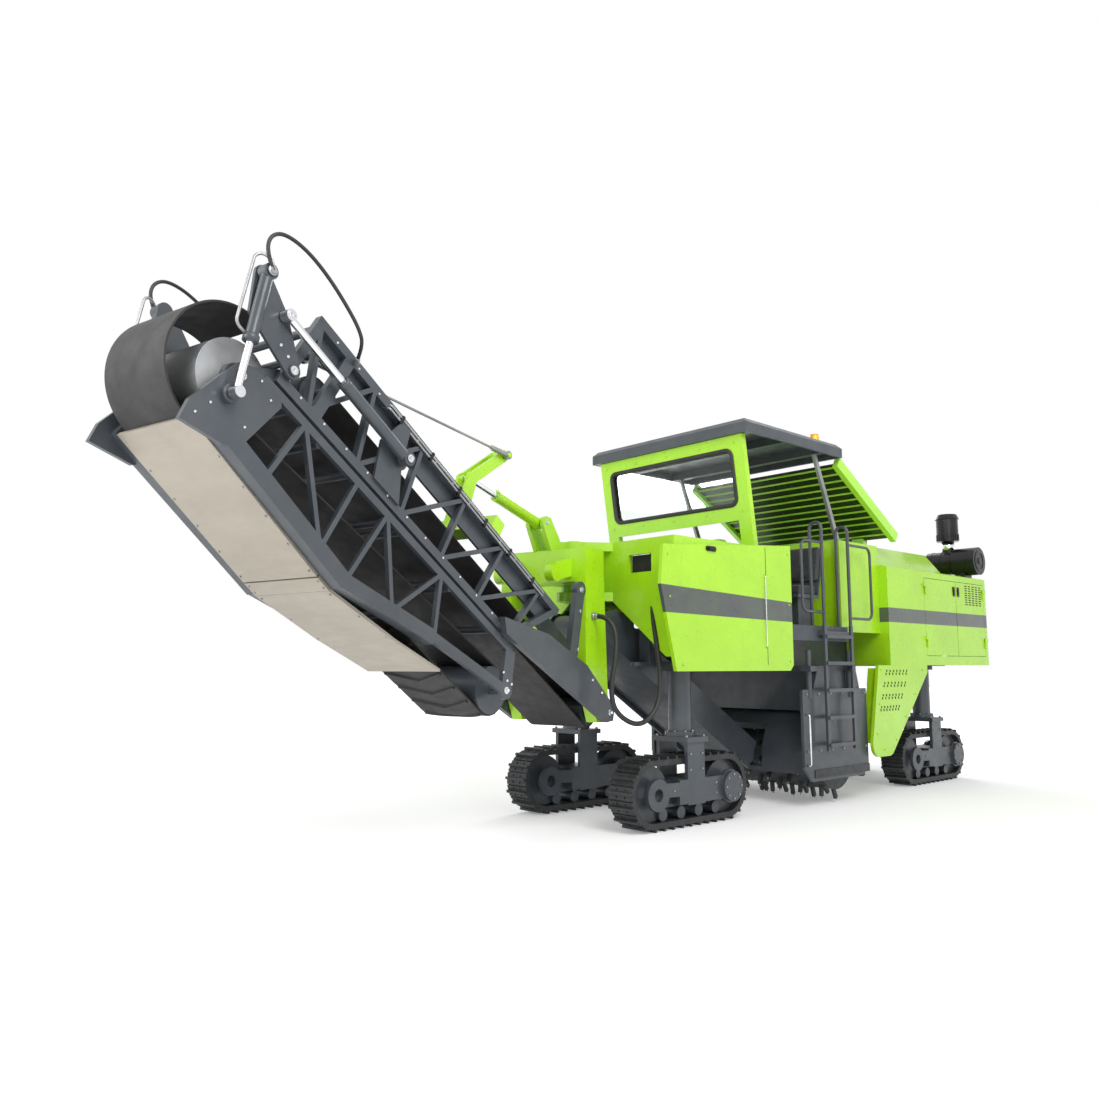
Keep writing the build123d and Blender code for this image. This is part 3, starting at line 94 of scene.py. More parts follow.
# a node with its values, what feeds it, and its settings
def addNode(tree, kind, values=None, fedBy=None, **settings):
    node = tree.nodes.new(kind)
    for key, value in settings.items():
        setattr(node, key, value)
    for key, value in (values or {}).items():
        node.inputs[key].default_value = value
    for key, source in (fedBy or {}).items():
        tree.links.new(source, node.inputs[key])
    return node


# one step of arithmetic on outputs or plain numbers
def addMath(tree, operation, *terms):
    node = addNode(tree, "ShaderNodeMath", operation=operation)
    for socket, term in zip(node.inputs, terms):
        if isinstance(term, float):
            socket.default_value = term
        else:
            tree.links.new(term, socket)
    return node.outputs[0]


def objectCoords(tree):
    return addNode(tree, "ShaderNodeTexCoord").outputs["Object"]


# noise on the coordinates, its middle part spread from low to high
def noiseFactor(tree, coords, scale, detail, low, high, stretch=(1, 1, 1)):
    mapping = addNode(tree, "ShaderNodeMapping", {"Scale": stretch}, {"Vector": coords})
    noise = addNode(tree, "ShaderNodeTexNoise", {"Scale": scale, "Detail": detail, "Roughness": 0.6},
                    {"Vector": mapping.outputs["Vector"]})
    spread = addNode(tree, "ShaderNodeMapRange",
                     {"From Min": 0.35, "From Max": 0.65, "To Min": low, "To Max": high},
                     {"Value": noise.outputs["Fac"]})
    return spread.outputs[0]


# a colour between two, each of them a colour or an output
def mixColor(tree, first, second, factor):
    mix = addNode(tree, "ShaderNodeMix", data_type="RGBA")
    for socket, value in ((mix.inputs[6], first), (mix.inputs[7], second)):
        if isinstance(value, tuple):
            socket.default_value = (*value, 1)
        else:
            tree.links.new(value, socket)
    tree.links.new(factor, mix.inputs[0])
    return mix.outputs[2]


# a finish: its colour with slow tone changes, dirt in patches, a fine grain in the bump, softened edges
def surface(name, color, rough, metal=0.0, coat=0.0, tone=0.12, toneScale=1.5, dirt=None, dirtAmount=0.25,
            grain=0.05, grainScale=90.0, stretch=(1, 1, 1), edge=0.003, specular=0.5, extra=None):
    mat, tree, shader = nodeMaterial(name)
    coords = objectCoords(tree)
    darker = tuple(c * (1 - tone) for c in color)
    lighter = tuple(min(1.0, c * (1 + tone)) for c in color)
    out = mixColor(tree, darker, lighter, noiseFactor(tree, coords, toneScale, 4.0, 0.0, 1.0, stretch))
    if extra:
        out = extra(tree, coords, out)
    if dirt:
        out = mixColor(tree, out, dirt, noiseFactor(tree, coords, toneScale * 3.1, 8.0, 0.0, dirtAmount))
    tree.links.new(out, shader.inputs["Base Color"])
    low, high = max(rough - 0.08, 0.03), min(rough + 0.08, 1.0)
    shine = noiseFactor(tree, coords, toneScale * 5, 6.0, low, high, stretch)
    tree.links.new(shine, shader.inputs["Roughness"])
    shader.inputs["Metallic"].default_value = metal
    shader.inputs["Coat Weight"].default_value = coat
    shader.inputs["Coat Roughness"].default_value = 0.12
    shader.inputs["Specular IOR Level"].default_value = specular
    fine = noiseFactor(tree, coords, grainScale, 3.0, 0.0, 1.0, stretch)
    bump = addNode(tree, "ShaderNodeBump", {"Strength": grain, "Distance": 0.002}, {"Height": fine})
    if edge:
        softened = addNode(tree, "ShaderNodeBevel", {"Radius": edge}, samples=4)
        tree.links.new(softened.outputs[0], bump.inputs["Normal"])
    tree.links.new(bump.outputs[0], shader.inputs["Normal"])
    return mat


limeTone, limeDirt = (0.34, 0.64, 0.006), (0.2, 0.35, 0.03)
slateTone, slateDirt = (0.038, 0.047, 0.058), (0.12, 0.115, 0.105)
# the second colour is near black: painted shade in holes, slots and between the louvre's slats, and the dark
# of the panel seams
stripeTone, holeShadeAndSeamTone = (0.048, 0.054, 0.062), (0.006, 0.006, 0.006)
panelStripe = {"rear": 1.06, "front": 3.15, "low": (2.02, 2.05), "high": (2.23, 2.31)}
hoodStripe = {"rear": -3.87, "front": -1.0, "low": (2.09, 2.09), "high": (2.27, 2.27)}
# where the louvre's painted shade goes: a point on the sloped wall, its normal, how far off its plane, and
# half its width
louvreSlats = {"middle": (-0.8055, 0, 3.58), "normal": (-0.5076, 0.0, 0.8616), "half": 0.0155, "wide": 1.04}
deckTread = {"scale": 11.0, "color": (0.16, 0.17, 0.18), "amount": 0.6}


# a slate band between two straight lines along the machine
def stripeOver(stripe):
    def build(tree, coords, under):
        spot = addNode(tree, "ShaderNodeSeparateXYZ", None, {0: coords})
        masks = []
        for key, operation in (("low", "GREATER_THAN"), ("high", "LESS_THAN")):
            ends = {"From Min": stripe["rear"] - midX, "From Max": stripe["front"] - midX,
                    "To Min": stripe[key][0], "To Max": stripe[key][1]}
            level = addNode(tree, "ShaderNodeMapRange", ends, {"Value": spot.outputs["X"]}, clamp=False)
            masks.append(addMath(tree, operation, spot.outputs["Z"], level.outputs[0]))
        return mixColor(tree, under, stripeTone, addMath(tree, "MULTIPLY", *masks))
    return build


# painted shade between the slats: black where a point is in the sloped wall's plane and clear of its side
# plates
def slatGapShadeOver(tree, coords, under):
    offset = addNode(tree, "ShaderNodeVectorMath", {1: place(louvreSlats["middle"])}, {0: coords},
                     operation="SUBTRACT").outputs[0]
    reach = addNode(tree, "ShaderNodeVectorMath", {1: louvreSlats["normal"]}, {0: offset},
                    operation="DOT_PRODUCT").outputs["Value"]
    across = addNode(tree, "ShaderNodeSeparateXYZ", None, {0: offset}).outputs["Y"]
    masks = [addMath(tree, "GREATER_THAN", addMath(tree, "ABSOLUTE", source), limit)
             for source, limit in ((reach, louvreSlats["half"]), (across, louvreSlats["wide"]))]
    return mixColor(tree, holeShadeAndSeamTone, under, addMath(tree, "MAXIMUM", *masks))


# two sets of bands, along X and along Y, multiplied
def crossedWaves(tree, coords, scale, distortion=0.0):
    look = {"Scale": scale, "Distortion": distortion}
    waves = [addNode(tree, "ShaderNodeTexWave", look, {"Vector": coords}, bands_direction=way).outputs["Fac"]
             for way in ("X", "Y")]
    return addMath(tree, "MULTIPLY", *waves)


# raised spots in a crossed pattern, paler where boots have worn them
def treadOver(tree, coords, under):
    worn = addNode(tree, "ShaderNodeMapRange",
                   {"From Min": 0.5, "From Max": 0.8, "To Max": deckTread["amount"]},
                   {"Value": crossedWaves(tree, coords, deckTread["scale"])})
    return mixColor(tree, under, deckTread["color"], worn.outputs[0])


limeLook = {"rough": 0.32, "coat": 0.5, "tone": 0.05, "grain": 0.02, "dirt": limeDirt, "dirtAmount": 0.1}
limePaint = surface("limePaint", limeTone, **limeLook)
panelPaint = surface("panelPaint", limeTone, extra=stripeOver(panelStripe), **limeLook)
hoodPaint = surface("hoodPaint", limeTone, extra=stripeOver(hoodStripe), **limeLook)
# the louvre: green paint on its slats, with painted shade between them
louvrePaintAndShade = surface("louvrePaintAndShade", (0.36, 0.72, 0.04), 0.35, coat=0.4, tone=0.05, grain=0.02,
                      extra=slatGapShadeOver)
slatePaint = surface("slatePaint", slateTone, 0.42, coat=0.2, grain=0.04, dirt=slateDirt, dirtAmount=0.16)
deckPlate = surface("deckPlate", slateTone, 0.55, tone=0.15, grain=0.1, extra=treadOver, dirt=slateDirt)
trackSteel = surface("trackSteel", (0.024, 0.027, 0.031), 0.5, metal=0.3, tone=0.25, toneScale=6, grain=0.25,
                     grainScale=60, dirt=(0.07, 0.062, 0.052), dirtAmount=0.3)
coverSheet = surface("coverSheet", (0.36, 0.325, 0.27), 0.42, metal=0.35, tone=0.06, toneScale=1.0,
                     grain=0.03, stretch=(1, 1, 6), dirt=(0.22, 0.19, 0.15), dirtAmount=0.14)
rodChrome = surface("rodChrome", (0.75, 0.76, 0.78), 0.12, metal=1.0, tone=0.04, grain=0.01, edge=0)
rawSteel = surface("rawSteel", (0.34, 0.35, 0.36), 0.42, metal=0.85, tone=0.18, grain=0.12,
                   dirt=(0.14, 0.12, 0.1), dirtAmount=0.3)
wearSteel = surface("wearSteel", (0.045, 0.05, 0.055), 0.5, metal=0.5, tone=0.25, toneScale=3, grain=0.2,
                    dirt=(0.09, 0.08, 0.07))
beltRubber = surface("beltRubber", (0.012, 0.012, 0.013), 0.6, tone=0.3, grain=0.2, grainScale=140,
                     dirt=(0.04, 0.037, 0.034))
hoseRubber = surface("hoseRubber", (0.012, 0.012, 0.013), 0.48, tone=0.2, grain=0.15, grainScale=220, edge=0)
blackPlastic = surface("blackPlastic", (0.006, 0.006, 0.0065), 0.3, tone=0.2, specular=0.4)
engineIron = surface("engineIron", (0.07, 0.07, 0.07), 0.6, metal=0.4, tone=0.2, grain=0.2)
# near black: painted shade for holes, slots and grilles, and the dark of the panel seams
holeShadeAndSeam = surface("holeShadeAndSeam", holeShadeAndSeamTone, 0.8, tone=0.1, edge=0)


# clear or tinted glass with faint smears in its gloss
def glassMaterial(name, tint, clearness):
    mat, tree, shader = nodeMaterial(name)
    shader.inputs["Base Color"].default_value = (*tint, 1)
    shader.inputs["Transmission Weight"].default_value = clearness
    shader.inputs["IOR"].default_value = 1.3
    tree.links.new(noiseFactor(tree, objectCoords(tree), 3.0, 3.0, 0.02, 0.09), shader.inputs["Roughness"])
    return mat


# woven seat cloth: two crossed fine waves in the bump
def weaveMaterial(name, color):
    mat, tree, shader = nodeMaterial(name)
    coords = objectCoords(tree)
    darker, lighter = (tuple(c * share for c in color) for share in (0.7, 1.3))
    out = mixColor(tree, darker, lighter, noiseFactor(tree, coords, 14.0, 5.0, 0.0, 1.0))
    tree.links.new(out, shader.inputs["Base Color"])
    shader.inputs["Roughness"].default_value = 0.85
    shader.inputs["Sheen Weight"].default_value = 0.25
    bump = addNode(tree, "ShaderNodeBump", {"Strength": 0.3, "Distance": 0.001},
                   {"Height": crossedWaves(tree, coords, 160.0, 0.4)})
    tree.links.new(bump.outputs[0], shader.inputs["Normal"])
    return mat


clearGlass = glassMaterial("clearGlass", (0.9, 0.95, 0.93), 1.0)
amberLens = glassMaterial("amberLens", (0.95, 0.4, 0.03), 0.5)
seatCloth = weaveMaterial("seatCloth", (0.02, 0.02, 0.022))

# the finish of each frame piece that isn't plain slate, a door or a track
finishNodes = (
    (limePaint, "front_box lower_cover_left lower_cover_right windshield_frame king_post luff_barrel "
                "slew_turret control_console tank_box"),
    (panelPaint, "side_panel_left side_panel_right"), (hoodPaint, "hood_shell"), (louvrePaintAndShade, "louvre_wall"),
    (deckPlate, "platform_deck"), (coverSheet, "outer_covers"), (rodChrome, "luff_rod fold_rods link_rods"),
    (rawSteel, "pendant_rope canopy_posts fold_drum"), (wearSteel, "milling_drum moldboard leg_sleeves"),
    (beltRubber, "belt_wrap inner_belt outer_belt"), (blackPlastic, "air_filter"),
    (engineIron, "engine_block"), (clearGlass, "windshield_glass"), (amberLens, "beacon"),
    (seatCloth, "seat_pads"))
finishOf = {node: finish for finish, nodes in finishNodes for node in nodes.split()}
for node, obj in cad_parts.items():
    if "door" in node:
        finish = hoodPaint
    elif node.startswith("track_loop"):
        finish = trackSteel
    else:
        finish = finishOf.get(node, slatePaint)
    obj.data.materials.clear()
    obj.data.materials.append(finish)
print("finishes set")


# an object in the scene with this data
def addObject(name, data):
    obj = bpy.data.objects.new(name, data)
    scene.collection.objects.link(obj)
    return obj


# a mesh object from (vertices, faces), riding on a body unless that is None
def addPiece(name, shape, finish, body="machine", smooth=False):
    verts, faces = shape
    mesh = bpy.data.meshes.new(name)
    mesh.from_pydata(np.asarray(verts, float).reshape(-1, 3).tolist(), [], [list(map(int, f)) for f in faces])
    mesh.update()
    if smooth:
        mesh.polygons.foreach_set("use_smooth", np.ones(len(mesh.polygons), bool))
    obj = addObject(name, mesh)
    mesh.materials.append(finish)
    if body:
        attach(obj, body)
    return obj


# quads of a grid of rows by columns points, closed round where asked
def gridFaces(rows, columns, closeRows=False, closeColumns=False):
    r = np.arange(rows if closeRows else rows - 1)
    c = np.arange(columns if closeColumns else columns - 1)
    r, c = np.meshgrid(r, c, indexing="ij")
    nextRow, nextColumn = (r + 1) % rows, (c + 1) % columns
    here, after = r * columns, nextRow * columns
    return np.stack([here + c, here + nextColumn, after + nextColumn, after + c], -1).reshape(-1, 4)


# faces of a tube of rings, with a face over each end
def tubeFaces(rings, sides):
    faces = gridFaces(rings, sides, closeColumns=True).tolist()
    return faces + [list(range(sides))[::-1], list(range((rings - 1) * sides, rings * sides))]


# a profile of (radius, height) turned about +Z: x = r cos t, y = r sin t, z = h
def lathe(profile, sides):
    r, h = np.asarray(profile, float).T[:, :, None]
    t = np.arange(sides) * 2 * math.pi / sides
    verts = np.stack([r * np.cos(t), r * np.sin(t), np.repeat(h, sides, 1)], -1).reshape(-1, 3)
    return verts, tubeFaces(len(profile), sides)


# a box of this size about its middle, its four upright edges cut by bevel
def block(size, bevel=0.0):
    x, y, z = np.asarray(size, float) / 2
    b = min(bevel, x * 0.9, y * 0.9)
    if b > 0:
        ring = np.array([[x - b, -y], [x, -y + b], [x, y - b], [x - b, y],
                         [-x + b, y], [-x, y - b], [-x, -y + b], [-x + b, -y]])
    else:
        ring = np.array([[x, -y], [x, y], [-x, y], [-x, -y]])
    verts = np.vstack([np.c_[ring, np.full(len(ring), height)] for height in (-z, z)])
    return verts, tubeFaces(2, len(ring))


# a turn whose third column is the normal and whose first is as near to along as it can be
def axesTo(normal, along=(0, 0, 1)):
    n = np.asarray(normal, float)
    n = n / np.linalg.norm(n)
    a = np.asarray(along, float) - np.dot(along, n) * n
    if np.linalg.norm(a) < 1e-6:
        a = np.cross(n, (1.0, 0, 0))
    a = a / np.linalg.norm(a)
    return np.stack([a, np.cross(n, a), n], 1)


# copies of a shape at every point, all turned the same way
def repeated(shape, points, turn):
    verts, faces = shape
    points = np.asarray(points, float).reshape(-1, 3)
    everyVert = (points[:, None, :] + (np.asarray(verts) @ np.asarray(turn).T)[None]).reshape(-1, 3)
    everyFace = [[i + k * len(verts) for i in f] for k in range(len(points)) for f in faces]
    return everyVert, everyFace


# a shape set at one point with its own +Z along the normal
def turned(shape, point, normal, along=(0, 0, 1)):
    return repeated(shape, [point], axesTo(normal, along))


# several (vertices, faces) as one
def joined(parts):
    verts, faces, base = [], [], 0
    for partVerts, partFaces in parts:
        verts.append(np.asarray(partVerts))
        faces += [[i + base for i in face] for face in partFaces]
        base += len(partVerts)
    return np.vstack(verts), faces


boltHead = lathe([(0.0105, 0.0), (0.0105, 0.008), (0.008, 0.011), (0.0, 0.011)], 6)


# hexagon bolt heads standing on a face
def bolts(points, normal, size=1.0):
    return repeated((boltHead[0] * size, boltHead[1]), points, axesTo(normal))


# a line through corners, with an arc of this radius at each: p = m + r times the unit way from m
def rounded(points, bend, steps=6):
    points = np.asarray(points, float)
    out = [points[:1]]
    for before, corner, after in zip(points[:-2], points[1:-1], points[2:]):
        a = (before - corner) / np.linalg.norm(before - corner)
        b = (after - corner) / np.linalg.norm(after - corner)
        half = math.acos(np.clip(np.dot(a, b), -1, 1)) / 2
        middle = corner + (a + b) / np.linalg.norm(a + b) * bend / math.sin(half)
        t = np.linspace(0, 1, steps)[:, None]
        first, last = (corner + way * bend / math.tan(half) for way in (a, b))
        flat = first * (1 - t) + last * t - middle
        out.append(middle + flat / np.linalg.norm(flat, axis=1, keepdims=True) * bend)
    out.append(points[-1:])
    return np.vstack(out)


# a round pipe: p = line + r (cos t n + sin t b), n and b carried along the line with the least turn
def pipe(line, radius, sides=10):
    way = np.gradient(line, axis=0)
    way /= np.linalg.norm(way, axis=1, keepdims=True)
    across = np.cross(way[0], (0.31, 0.17, 0.94))  # any direction that no pipe starts along
    carried = []
    for ahead in way:
        across = across - np.dot(across, ahead) * ahead
        across = across / np.linalg.norm(across)
        carried.append(across)
    n = np.array(carried)
    b = np.cross(way, n)
    t = np.arange(sides) * 2 * math.pi / sides
    ring = np.cos(t)[None, :, None] * n[:, None] + np.sin(t)[None, :, None] * b[:, None]
    return (line[:, None] + radius * ring).reshape(-1, 3), tubeFaces(len(line), sides)


# the smooth line of a NURBS spline with these control points, read from the curve itself
def splineLine(points, resolution=8):
    curve = bpy.data.curves.new("route", "CURVE")
    curve.dimensions = "3D"
    spline = curve.splines.new("NURBS")
    spline.points.add(len(points) - 1)
    spline.points.foreach_set("co", np.c_[points, np.ones(len(points))].ravel())
    spline.order_u = 3
    spline.use_endpoint_u = True
    spline.resolution_u = resolution
    holder = bpy.data.objects.new("route", curve)
    mesh = bpy.data.meshes.new_from_object(holder)
    line = np.array([v.co for v in mesh.vertices])
    bpy.data.objects.remove(holder)
    bpy.data.meshes.remove(mesh)
    bpy.data.curves.remove(curve)
    return line


view = {"place": (9.7, 6.8355, 1.55), "lens": 30.20727, "sensor": 36, "up": 7.16321, "left": 47.9}
camera = addObject("camera", bpy.data.cameras.new("camera"))
scene.camera = camera
camera.data.lens, camera.data.sensor_width = view["lens"], view["sensor"]
camera.data.clip_end = 200
camera.location = place(view["place"])
camera.rotation_euler = (math.radians(90 + view["up"]), 0, math.radians(90 + view["left"]))

# a world that looks white and lights the machine more softly
scene.view_settings.view_transform = "Standard"
world = bpy.data.worlds.new("studio")
scene.world = world
world.use_nodes = True
skyTree = world.node_tree
rays = addNode(skyTree, "ShaderNodeLightPath").outputs
seen = addMath(skyTree, "MAXIMUM", rays["Is Camera Ray"], rays["Is Transmission Ray"])
seen = addMath(skyTree, "MAXIMUM", seen, rays["Is Glossy Ray"])
strength = addNode(skyTree, "ShaderNodeMapRange", {"To Min": 0.62, "To Max": 1.0}, {"Value": seen})
skyTree.links.new(strength.outputs[0], skyTree.nodes["Background"].inputs["Strength"])
skyTree.nodes["Background"].inputs["Color"].default_value = (1, 1, 1, 1)

lamps = {"keyLamp": {"at": (4.0, 9.0, 9.5), "aim": (0, 0, 1.5), "size": 6.0, "power": 900},
         "fillLamp": {"at": (11.0, 0.0, 6.0), "aim": (0, 0, 2.0), "size": 6.0, "power": 450},
         "backLamp": {"at": (-9.0, -6.0, 8.0), "aim": (0, 0, 2.0), "size": 6.0, "power": 500}}
for name, lamp in lamps.items():
    data = bpy.data.lights.new(name, "AREA")
    data.size, data.energy = lamp["size"], lamp["power"]
    obj = addObject(name, data)
    turn = axesTo(np.subtract(lamp["at"], lamp["aim"]))
    obj.matrix_world = Matrix([[*turn[i], lamp["at"][i]] for i in range(3)] + [[0, 0, 0, 1]])

# a pale floor that keeps the shadow near the machine and goes white further out
floorLook = {"half": 60, "level": -0.002, "color": (0.86, 0.86, 0.86), "near": 7.0, "far": 15.0, "glow": 0.22}
floorPale, floorTree, floorShader = nodeMaterial("floorPale")
floorShader.inputs["Base Color"].default_value = (*floorLook["color"], 1)
floorShader.inputs["Roughness"].default_value = 0.9
floorShader.inputs["Emission Color"].default_value = (1, 1, 1, 1)
farOff = addNode(floorTree, "ShaderNodeVectorMath", None, {0: objectCoords(floorTree)}, operation="LENGTH")
glow = addNode(floorTree, "ShaderNodeMapRange",
               {"From Min": floorLook["near"], "From Max": floorLook["far"], "To Min": floorLook["glow"]},
               {"Value": farOff.outputs["Value"]})
floorTree.links.new(glow.outputs[0], floorShader.inputs["Emission Strength"])
half, level = floorLook["half"], floorLook["level"]
floorMesh = bpy.data.meshes.new("floor")
corners = [(x * half, y * half, level) for x, y in ((-1, -1), (1, -1), (1, 1), (-1, 1))]
floorMesh.from_pydata(corners, [], [[0, 1, 2, 3]])
floor = addObject("floor", floorMesh)
floorMesh.materials.append(floorPale)
print("camera, light and floor set")


# a hose: a pipe round its route's smooth line, on the machine, or, where it crosses a joint, on no body with
# its transform baked into its mesh
def makeHose(name, route, diameter, across=None):
    line = splineLine(route)
    body = None if across else "machine"
    hose = addPiece(name, pipe(line, diameter / 2, 12), hoseRubber, body, smooth=True)
    if across:
        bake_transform(hose)


# loops from each kite's top pin over the fold to the inner section's top chord
loopHose = {  # route: forward, out, up
    "diameter": 0.026, "foot": (3.525, 0.508, 3.648), "footWay": (0.35, 0.79, 0.51),
    "route": ((4.35, 0.636, 4.0), (4.4, 0.636, 4.096), (4.39, 0.636, 4.2), (4.312, 0.636, 4.264),
              (4.195, 0.636, 4.262), (4.05, 0.636, 4.21), (3.89, 0.636, 4.105), (3.745, 0.645, 3.965),
              (3.64, 0.66, 3.83), (3.582, 0.64, 3.732), (3.527, 0.515, 3.652))}
swivel = lathe([(0.034, 0.0), (0.034, 0.008), (0.022, 0.012), (0.022, 0.018)], 14)
ferrule = lathe([(0.02, 0.0), (0.02, 0.05), (0.016, 0.055)], 12)
for side, name in bothSides:
    makeHose("hose_loop_" + name, onSide(loopHose["route"], side), loopHose["diameter"],
             across=("inner_conveyor", "kites", slewed(3.75, 0, 3.75), slewed(4.25, 0, 4.05)))
    fitting = turned(swivel, onSide((4.35, 0.63, 4.0), side), slewWay(0, side, 0))
    addPiece("hose_swivel_" + name, fitting, rawSteel, "kites")
    u, w, z = loopHose["footWay"]
    fitting = turned(ferrule, onSide(loopHose["foot"], side), slewWay(u, side * w, z))
    addPiece("hose_ferrule_" + name, fitting, rawSteel, "inner_conveyor")

# from under the front box to each front leg's sleeve
legHose = {"diameter": 0.05,
           "route": ((2.66, 0.52, 2.17), (2.74, 0.6, 2.1), (2.86, 0.7, 1.98), (2.9, 0.78, 1.8),
                     (2.82, 0.83, 1.66), (2.7, 0.8, 1.6), (2.6, 0.78, 1.6))}
for side, name in bothSides:
    makeHose("hose_leg_" + name, place(np.multiply(legHose["route"], (1, side, 1))), legHose["diameter"])

# from the turret's left post down and back up to the front box, over the slew joint
slewHose = {
    "diameter": 0.048, "fitting": (0.42, 0.5, 2.02),
    "turretEnd": ((0.42, 0.49, 2.02), (0.42, 0.58, 2.02), (0.42, 0.66, 1.99), (0.42, 0.72, 1.93),
                  (0.42, 0.75, 1.85), (0.43, 0.76, 1.72), (0.45, 0.75, 1.55), (0.49, 0.73, 1.34)),
    "machineEnd": ((3.5, 0.86, 1.12), (3.25, 0.93, 0.98), (3.02, 0.96, 1.14), (2.97, 0.96, 1.42),
                   (2.97, 0.92, 1.74), (2.96, 0.86, 2.02), (2.92, 0.82, 2.22))}
route = np.vstack([onSide(slewHose["turretEnd"], 1), place(slewHose["machineEnd"])])
makeHose("hose_slew", route, slewHose["diameter"],
         across=("machine", "turret", place((3.05, 0.95, 1.2)), slewed(0.45, 0.66, 1.45)))
fitting = lathe([(0.036, 0.0), (0.036, 0.02), (0.03, 0.026), (0.03, 0.05), (0.026, 0.056)], 14)
fitting = turned(fitting, onSide(slewHose["fitting"], 1), slewWay(0, 1, 0))
addPiece("slew_hose_fitting", fitting, rawSteel, "turret")
print("hoses made")

# a bent pipe down each link cylinder, and a gland where each rod leaves its barrel
kiteTop, linkEye = np.array([4.35, 4.0]), np.array([4.54, 3.18])
ramPipe = {"radius": 0.0105, "bend": 0.055,  # corners: down the cylinder, ahead of it, out
           "corners": ((0.465, 0.03, 0.585), (0.435, 0.125, 0.585), (-0.095, 0.125, 0.6),
                       (-0.06, 0.02, 0.636), (0.0, 0.0, 0.636))}
glands = {"link": {"body": "link_cylinders", "top": kiteTop, "low": linkEye, "at": 0.45, "size": 1.0},
          "fold": {"body": "fold_cylinders", "top": np.array([3.08, 3.04]), "low": np.array([4.18, 3.77]),
                   "at": 0.71, "size": 0.88}}
collar = lathe([(0.0425, 0.0), (0.051, 0.004), (0.051, 0.044), (0.0425, 0.048)], 20)
down = (linkEye - kiteTop) / np.linalg.norm(linkEye - kiteTop)
alongRam, aheadRam, outward = np.array(ramPipe["corners"]).T
u, z = (kiteTop + np.outer(alongRam, down) + np.outer(aheadRam, (-down[1], down[0]))).T
for side, name in bothSides:
    line = rounded(slewed(u, side * outward, z), ramPipe["bend"])
    addPiece("ram_pipe_" + name, pipe(line, ramPipe["radius"]), rawSteel, "link_cylinders", smooth=True)
    for tag, gland in glands.items():
        way = (gland["low"] - gland["top"]) / np.linalg.norm(gland["low"] - gland["top"])
        spot = gland["top"] + way * gland["at"]
        shape = turned((collar[0] * gland["size"], collar[1]), slewed(spot[0], side * 0.585, spot[1]),
                       slewWay(way[0], 0, way[1]))
        addPiece(f"{tag}_gland_{name}", shape, slatePaint, gland["body"], smooth=True)

# caps on the conveyor's pins, flat on the eye at the machine's widest point: body, then forward, out, up
pinCaps = {
    "kite_pin": ("inner_conveyor", (4.09, 0.552, 3.44)), "fold_foot": ("inner_conveyor", (3.08, 0.627, 3.04)),
    "fold_pin": ("outer_conveyor", (4.45, 0.51, 3.32)), "link_eye": ("link_pistons", (4.54, 0.621, 3.18)),
    "kite_eye": ("fold_pistons", (4.18, 0.621, 3.77)), "head_pin": ("outer_conveyor", (1.77, 0.504, 1.35)),
    "foot_pin": ("inner_conveyor", (0.24, 0.57, 1.11)), "lever_pin": ("inner_conveyor", (0.73, 0.57, 2.25)),
    "luff_foot": ("turret", (0.62, 0.1, 2.93))}
pinHead = lathe([(0.026, 0.0), (0.026, 0.006), (0.017, 0.007), (0.017, 0.02), (0.014, 0.024)], 6)
pinRing = lathe([(0.03, 0.0), (0.03, 0.004), (0.018, 0.006)], 18)
for tag, (body, spot) in pinCaps.items():
    cap = (pinHead[0] * (0.6, 0.6, 0.1), pinHead[1]) if tag == "link_eye" else joined([pinHead, pinRing])
    both = [turned(cap, onSide(spot, side), slewWay(0, side, 0)) for side in (1, -1)]
    addPiece("cap_" + tag, joined(both), rodChrome, body)

# bolts on both side faces of the conveyor: body, spots as (forward, up), how far out, size
lowRow, highRow = (chord([(d, rise) for d in np.linspace(-3.05, -0.4, 12)]) for rise in (0.225, 0.775))
foldPlate = chord([(0.1, -0.42), (0.06, -0.3), (-0.03, -0.2), (-0.2, -0.25), (-0.24, 0.03), (-0.12, 0.08)])
footPlate = [(0.4, 1.3), (0.56, 1.42), (0.8, 1.7), (0.76, 2.05)]
sideBolts = {
    "fold_plate": ("outer_conveyor", foldPlate, 0.504, 0.95),
    "kite": ("kites", [(4.2, 3.58), (4.14, 3.52)], 0.54, 1.2),
    "head": ("outer_conveyor", [(1.77, 1.43), (1.82, 1.5), (1.71, 1.4)], 0.504, 1.2),
    "low_chord": ("inner_conveyor", lowRow, 0.5, 1.0), "high_chord": ("inner_conveyor", highRow, 0.5, 1.0),
    "foot_plate": ("inner_conveyor", footPlate, 0.57, 1.5)}
for tag, (body, spots, w, size) in sideBolts.items():
    u, z = np.transpose(spots)
    both = [bolts(slewed(u, side * w, z), slewWay(0, side, 0), size) for side in (1, -1)]
    addPiece("bolts_" + tag, joined(both), rodChrome, body)

